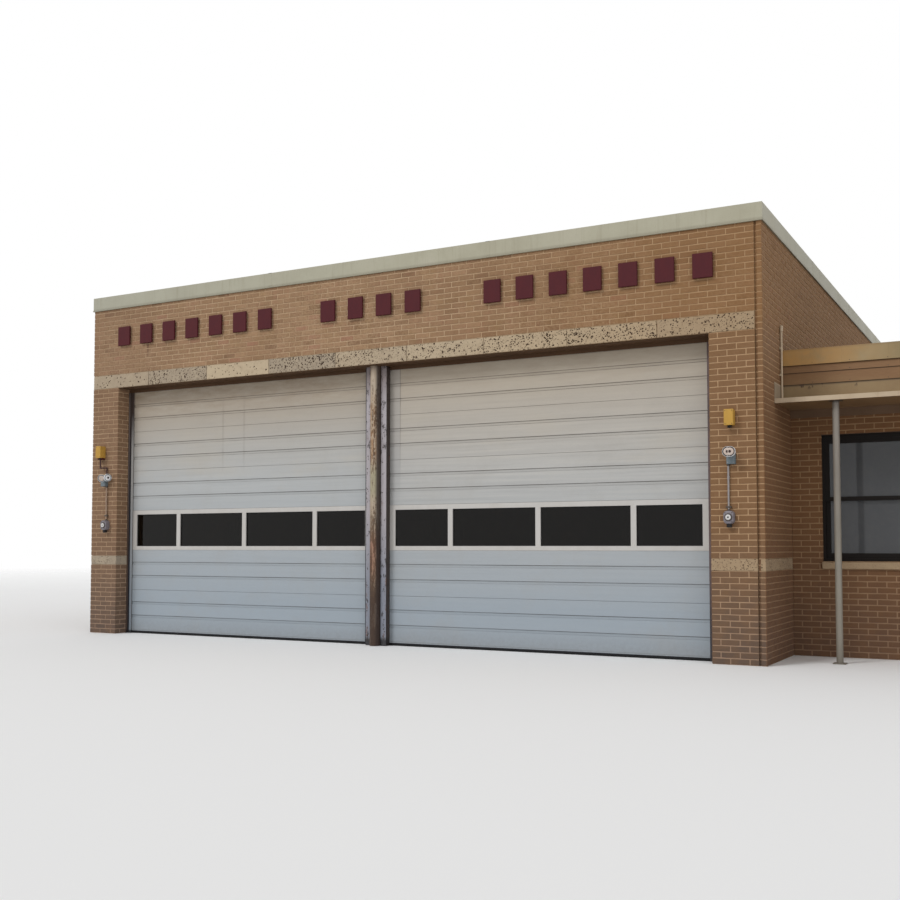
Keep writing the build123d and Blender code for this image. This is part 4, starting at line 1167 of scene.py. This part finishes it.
def course_faces():
    """Which faces of each part of the stone course show."""
    for low, high in solids_of("stone_course"):
        if high.x - low.x > high.y - low.y:
            yield ["rear"]
        elif low.x < cad_low[0] + 0.1:
            yield ["left"]
        else:
            yield ["right", "front"] if low.y < BAY_FRONT + 0.01 else ["right"]


def sill_stones():
    """The sills under the wing's windows, with soft arrises."""
    build = Build()
    for low, high in solids_of("window_sills"):
        shape = recessed("window_sills", [])
        outside = [v for v in shape.verts
                   if any(v.co[i] < low[i] - ON_PLANE or v.co[i] > high[i] + ON_PLANE for i in range(3))]
        bmesh.ops.delete(shape, geom=outside, context="VERTS")
        bmesh.ops.remove_doubles(shape, verts=shape.verts[:], dist=SAME_POINT)
        bmesh.ops.dissolve_limit(shape, angle_limit=0.01, verts=shape.verts[:], edges=shape.edges[:])
        bmesh.ops.bevel(shape, geom=shape.edges[:], offset=SILL_BEVEL, segments=2, affect="EDGES",
                        profile=0.5)
        build.add_shape(shape, 0, random.uniform(0.3, 0.8))
    build.object("window_sill_stones", "cast_stone", "window_sills")


stone_piece("stone_band_blocks", "stone_band", [("front", "left")], looks=BAND_BLOCKS)
stone_piece("pier_stone_blocks", "pier_stones", [("front", "left", "right")] * 2, looks=PIER_BLOCKS,
            size=PIER_PITS)
stone_piece("stone_course_blocks", "stone_course", course_faces(), COARSE_CELL)
sill_stones()


# Overhead doors and centre channel

def door_beads():
    """Black beads round the lights of the doors."""
    w = BEAD_WIDTH
    for door in ("left_door", "right_door"):
        build = Build()
        for low, high in solids_of(door + "_glass"):
            x0, x1 = low.x + GLASS_SEAT, high.x - GLASS_SEAT
            z0, z1 = low.z + GLASS_SEAT, high.z - GLASS_SEAT
            for a0, a1, b0, b1 in ((x0, x1, z1 - w, z1), (x0, x1, z0, z0 + w), (x0, x0 + w, z0 + w, z1 - w),
                                   (x1 - w, x1, z0 + w, z1 - w)):
                bevelled(build, (a0, low.y - BEAD_DEPTH, b0), (a1, low.y, b1), 0.0015, segments=1)
        build.object(door + "_beads", "seal_rubber")


def channel_details():
    """Bolt heads on the lips of the centre channel, and a rubber lip along its left edge."""
    low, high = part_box("centre_jamb")
    build = Build()
    for name, (insets, heights) in JAMB_BOLTS.items():
        for height in heights:
            inset = random.uniform(*insets)
            x = low.x + inset if name == "left" else high.x - inset
            turned(build, BOLT, (x, low.y, height), segments=6)
    build.object("jamb_bolts", "bolt_steel")
    build = Build()
    front, back = LIP_DEPTH
    bevelled(build, (low.x - LIP_OUT, low.y + front, low.z + LIP_FOOT),
             (low.x + 0.001, low.y + back, high.z - 0.002), 0.0015)
    build.object("centre_lip_seal", "seal_rubber")


# Profiles of the small turned pieces, as (radius, height)
BOLT = ((0.008, -0.001), (0.008, 0.004), (0.0064, 0.006))
NAIL = ((0.0045, -0.002), (0.0045, 0.0012), (0.003, 0.002))
LAMP_SCREW = ((0.005, 0), (0.005, 0.003), (0.003, 0.0042))
SWITCH_SCREW = ((0.0055, -0.001), (0.0055, 0.002), (0.004, 0.003))
BOX_SCREW = ((0.0045, -0.001), (0.0045, 0.0012), (0.003, 0.0022))
LAMP_SHELL = ((0.02, 0), (0.022, 0.002), (0.022, 0.034), (0.024, 0.04), (0.036, 0.062), (0.047, 0.078),
              (0.055, 0.086), (0.0578, 0.092), (0.058, 0.117), (0.0568, 0.1195), (0.0548, 0.119),
              (0.054, 0.112))
LAMP_GAP = ((0.0538, 0.1105), (0.0538, 0.1138), (0.036, 0.1142))
LAMP_LENS = ((0.043, 0.111), (0.043, 0.119), (0.04, 0.1228), (0.032, 0.125), (0.022, 0.1258),
             (0.016, 0.1259))
LAMP_CENTRE = ((0.016, 0.120), (0.016, 0.1262), (0.010, 0.1268), (0.003, 0.127))
LAMP_COLLAR = ((0.027, -0.004), (0.027, 0.010), (0.0235, 0.014))
SWITCH_COLLAR = ((0.044, -0.001), (0.044, 0.006), (0.0425, 0.008))
DIAL = ((0.031, 0), (0.031, 0.015), (0.029, 0.0175), (0.026, 0.018))
DIAL_CENTRE = ((0.011, 0.017), (0.011, 0.0178), (0.009, 0.0182))
SWITCH_HUB = ((0.018, -0.004), (0.018, 0))
COUPLING = ((0.0125, -0.022), (0.0142, -0.020), (0.0142, 0.020), (0.0125, 0.022))
END_NUT = ((0.0165, 0), (0.0165, 0.016), (0.0145, 0.018))

# Outline of a switch box, as (inset, depth)
SWITCH_RINGS = ((0, 0), (0, 0.046), (0.0025, 0.048), (0.0025, 0.051), (0, 0.053), (0, SWITCH_DEPTH - 0.008),
                (0.003, SWITCH_DEPTH - 0.002), (0.008, SWITCH_DEPTH))


def gland(radius, waist, height, lip):
    """The profile of a cable gland with a groove round it."""
    inner = radius - 0.0015
    return ((radius, -0.002), (radius, waist), (inner, waist + 0.0015), (inner, waist + 0.004),
            (radius, waist + 0.0055), (radius, height - lip), (radius - 0.003, height))


def screws(build, profile, xs, y, zs, slot=1):
    """A screw head at each x and each z of a front."""
    for x in xs:
        for z in zs:
            turned(build, profile, (x, y, z), FRONT, slot, 12)


def lamps():
    """Twin lamp heads on a small box: a flared shell, a dark gap, a pale lens with a dark middle."""
    build = Build()
    for (low, high, _), aims in zip(feet_of("wall_lamps"), LAMP_AIMS):
        wall, at_left = high.y, low.x < 0
        front = wall - LAMP_BOX
        bevelled(build, (low.x, front, low.z), high, 0.004, 1)
        bevelled(build, (low.x + LAMP_COVER_IN, front - LAMP_COVER_PROUD, low.z + LAMP_COVER_IN),
                 (high.x - LAMP_COVER_IN, front + 0.005, high.z - LAMP_COVER_DROP), 0.002, 1)
        screws(build, LAMP_SCREW, (low.x + LAMP_SCREW_IN, high.x - LAMP_SCREW_IN), front - 0.002,
               [low.z + LAMP_SCREW_UP], 2)
        for way, aim in zip((-0.5, 0.5), aims):
            spot = ((low.x + high.x) / 2 + way * LAMP_OFFSET, wall - LAMP_STAND, high.z)
            near = at_left and way > 0
            turned(build, LAMP_SHELL, spot, aim, 0, 40)
            turned(build, LAMP_GAP, spot, aim, 1 if at_left else 3, 40)
            turned(build, LAMP_LENS, spot, aim, 0 if near else 4, 40)
            if near or not at_left:
                turned(build, LAMP_CENTRE, spot, aim, 5, 24)
            turned(build, LAMP_COLLAR, spot, aim, 2, 24)
    build.object("wall_lamp_heads", "lamp_body lamp_box galvanised black_plastic lamp_lens lamp_lens_centre",
                 "wall_lamps", smooth=True)


def switches():
    """Cast boxes with rounded corners, a dark collar, a pale dial with a dark middle and a gland."""
    build = Build()
    for low, high, _ in feet_of("key_switches"):
        x, z, wall = (low.x + high.x) / 2, (low.z + high.z) / 2, high.y
        width, height = high.x - low.x, high.z - low.z
        front, middle = wall - SWITCH_DEPTH, wall - SWITCH_DEPTH / 2
        stacked(build, [rounded(x, z, wall - depth, width - 2 * inset, height - 2 * inset,
                                SWITCH_CORNER - inset) for inset, depth in SWITCH_RINGS])
        turned(build, SWITCH_COLLAR, (x, front, z), FRONT, 1)
        turned(build, DIAL, (x, front, z), FRONT, 2)
        turned(build, DIAL_CENTRE, (x, front, z), FRONT, 3, 20)
        screws(build, SWITCH_SCREW, (x - SCREW_APART, x + SCREW_APART), front,
               (z - SWITCH_SCREW_APART, z + SWITCH_SCREW_APART))
        turned(build, gland(*SWITCH_GLAND), (x, middle, low.z), -UP, 3)
        turned(build, SWITCH_HUB, (x, middle, high.z), UP, 1)
    build.object("key_switch_boxes", "grey_cast bolt_steel dial_paint black_plastic", "key_switches",
                 smooth=True)


def yellow_boxes():
    """Yellow sheet boxes with a cover, cover screws and a black gland; the left one has a bracket."""
    build = Build()
    for low, high, front in feet_of("alarm_boxes"):
        x, wall, cover = (low.x + high.x) / 2, high.y, front + BOX_COVER
        bevelled(build, (low.x + BOX_INSET, cover + BOX_GAP, low.z + BOX_INSET),
                 (high.x - BOX_INSET, wall, high.z - BOX_INSET), 0.003)
        bevelled(build, (low.x, front, low.z), (high.x, cover, high.z), 0.005, segments=3)
        screws(build, BOX_SCREW, (x - SCREW_APART, x + SCREW_APART), front,
               (low.z + BOX_SCREW_IN, high.z - BOX_SCREW_IN))
        turned(build, gland(*BOX_GLAND), (x, (front + wall) / 2, low.z), -UP, 2)
        for a, b in BOX_BRACKET if low.x < OPENING_LEFT else ():
            bevelled(build, (x + a, wall - BRACKET_OUT, low.z - BRACKET_DROP), (x + b, wall, low.z - 0.001),
                     0.002, 3)
    build.object("alarm_box_covers", "yellow_paint bolt_steel black_plastic maroon_paint", "alarm_boxes",
                 smooth=True)


def conduit_fittings():
    """Couplings, straps and end nuts on the conduits between the lamps and the switches."""
    build = Build()
    runs = [box for box in solids_of("lamp_conduits") if box[1].x - box[0].x < 0.03]
    for (low, high), (coupling, strap) in zip(runs, COUPLINGS):
        x, y = (low.x + high.x) / 2, (low.y + high.y) / 2
        turned(build, COUPLING, (x, y, coupling), None, 0, 20)
        across, up = STRAP_HALF
        bevelled(build, (x - across, y - STRAP_PROUD, strap - up),
                 (x + across, BAY_FRONT, strap + up), 0.002, 1)
        turned(build, END_NUT, (x, y, high.z), -UP, 1, 20)
        turned(build, END_NUT, (x, y, low.z), UP, 1, 20)
    build.object("conduit_fittings", "conduit_metal bolt_steel", smooth=True)


# Roof edge and wing

def seam_covers():
    """Covers over the seams of the sheet metal round the roof."""
    low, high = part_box("bay_roof_edge")
    build = Build()
    for name in BOX_SIDES:
        side = box_side(low, high, name)
        count = round(side.length / SEAM_PITCH)
        for i in range(1, count):
            u0, u1 = side.length * i / count - SEAM_WIDTH / 2, side.length * i / count + SEAM_WIDTH / 2
            for bottom, depth in ((low.z + SEAM_FOOT, SEAM_INSET + SEAM_OVERLAP),
                                  (high.z - SEAM_OVERLAP, SEAM_ON_TOP)):
                bevelled(build, *span([side.at(u0, bottom, SEAM_INSET - SEAM_PROUD),
                                       side.at(u1, high.z + SEAM_PROUD, depth)]), 0.0005, segments=1)
    build.object("roof_edge_seams", "edge_metal")


def wing_nails():
    """Nail heads on the coping and the boards of the wing."""
    build = Build()
    for joint, (node, lift) in zip(WING_JOINTS, NAIL_ROWS):
        for name in ("front", "right", "rear"):
            side = node_side(name, node)
            u = NAIL_START
            while u < side.length - NAIL_END:
                turned(build, NAIL, side.at(u, joint + lift), -side.inward, segments=8)
                u += NAIL_PITCH
    build.object("wing_nail_heads", "bolt_steel")


door_beads()
channel_details()
lamps()
switches()
yellow_boxes()
conduit_fittings()
seam_covers()
wing_nails()


# Finishes on the pieces that keep their CAD shape

FINISHES = {
    "concrete": "bay_floor wing_floor", "roofing": "bay_roof wing_roof", "edge_metal": "bay_roof_edge",
    "wing_coping_paint": "wing_coping", "brown_board": "wing_siding", "frieze_paint": "wing_frieze",
    "canopy_paint": "canopy_slab service_conduit", "post_paint": "canopy_posts", "trim_paint": "soffit_trim",
    "rusty_pipe": "centre_column", "jamb_paint": "centre_jamb", "post_steel": "centre_post",
    # Dark brown painted shade on the door lintel
    "side_steel": "pier_jambs", "soffit_paint": "door_lintel", "galvanised": "door_tracks",
    "seal_rubber": "door_seals", "door_paint": "left_door_sections right_door_sections",
    "door_aluminium": "left_door_window_section right_door_window_section",
    "clear_glass": "left_door_glass right_door_glass", "window_glass": "window_glass",
    "maroon_paint": "sign_tablets", "conduit_metal": "lamp_conduits", "bronze_frame": "window_frames",
}

for look, nodes in FINISHES.items():
    for node in nodes.split():
        slots = mesh_of(node).materials
        if not slots:
            slots.append(MATERIALS[look])
        for index in range(len(slots)):
            slots[index] = MATERIALS[look]


# Camera, light and floor

def stage_floor():
    """A pale floor that fades into the background far away."""
    s = FLOOR_SIZE
    mesh = bpy.data.meshes.new("studio_floor")
    corners = [(x, y, FLOOR_DROP) for x, y in ((-s, -s), (s, -s), (s, s), (-s, s))]
    mesh.from_pydata(corners, [], [(0, 1, 2, 3)])
    k = Look("studio_floor")
    k.shader.inputs["Base Color"].default_value = FLOOR_COLOUR
    k.shader.inputs["Roughness"].default_value = FLOOR_ROUGHNESS
    reach = k.node("VectorMath", {"operation": "LENGTH"})
    k.put(reach.inputs[0], k.place)
    blend = k.node("MixShader", Fac=k.range(reach.outputs["Value"], *FLOOR_FADE))
    k.put(blend.inputs[1], k.shader.outputs[0])
    k.put(blend.inputs[2], k.node("BsdfTransparent").outputs[0])
    k.put(k.tree.nodes["Material Output"].inputs["Surface"], blend.outputs[0])
    mesh.materials.append(k.material)
    floor = linked("studio_floor", mesh)


def world_light():
    """A soft even sky; the camera and reflections see plain white."""
    world = bpy.data.worlds.new("studio")
    bpy.context.scene.world = world
    k = Tree(world)
    background = k.tree.nodes["Background"]
    background.inputs["Color"].default_value = (1, 1, 1, 1)
    path = k.node("LightPath")
    seen = path.outputs["Is Camera Ray"]
    for ray in ("Is Glossy Ray", "Is Transmission Ray"):
        seen = k.math("MAXIMUM", seen, path.outputs[ray])
    k.put(background.inputs["Strength"], k.range(seen, 0, 1, 1, SKY_LEVEL))


def sun(name, strength, angle, direction):
    light = bpy.data.lights.new(name, "SUN")
    light.energy = strength
    light.angle = radians(angle)
    linked(name, light).rotation_euler = Vector(direction).to_track_quat("-Z", "Y").to_euler()


def place_camera():
    low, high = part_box("right_pier")
    data = bpy.data.cameras.new("photo_view")
    data.lens = LENS
    data.sensor_width = SENSOR
    data.shift_x, data.shift_y = SHIFT
    data.clip_end = FARTHEST
    camera = linked("photo_view", data)
    camera.location = (high.x + CAMERA_RIGHT, low.y - CAMERA_FRONT, CAMERA_UP)
    camera.rotation_euler = (radians(90 + CAMERA_PITCH), 0, radians(CAMERA_YAW))
    bpy.context.scene.camera = camera


stage_floor()
world_light()
for light in SUNS:
    sun(*light)
place_camera()
bpy.context.scene.view_settings.view_transform = "Standard"
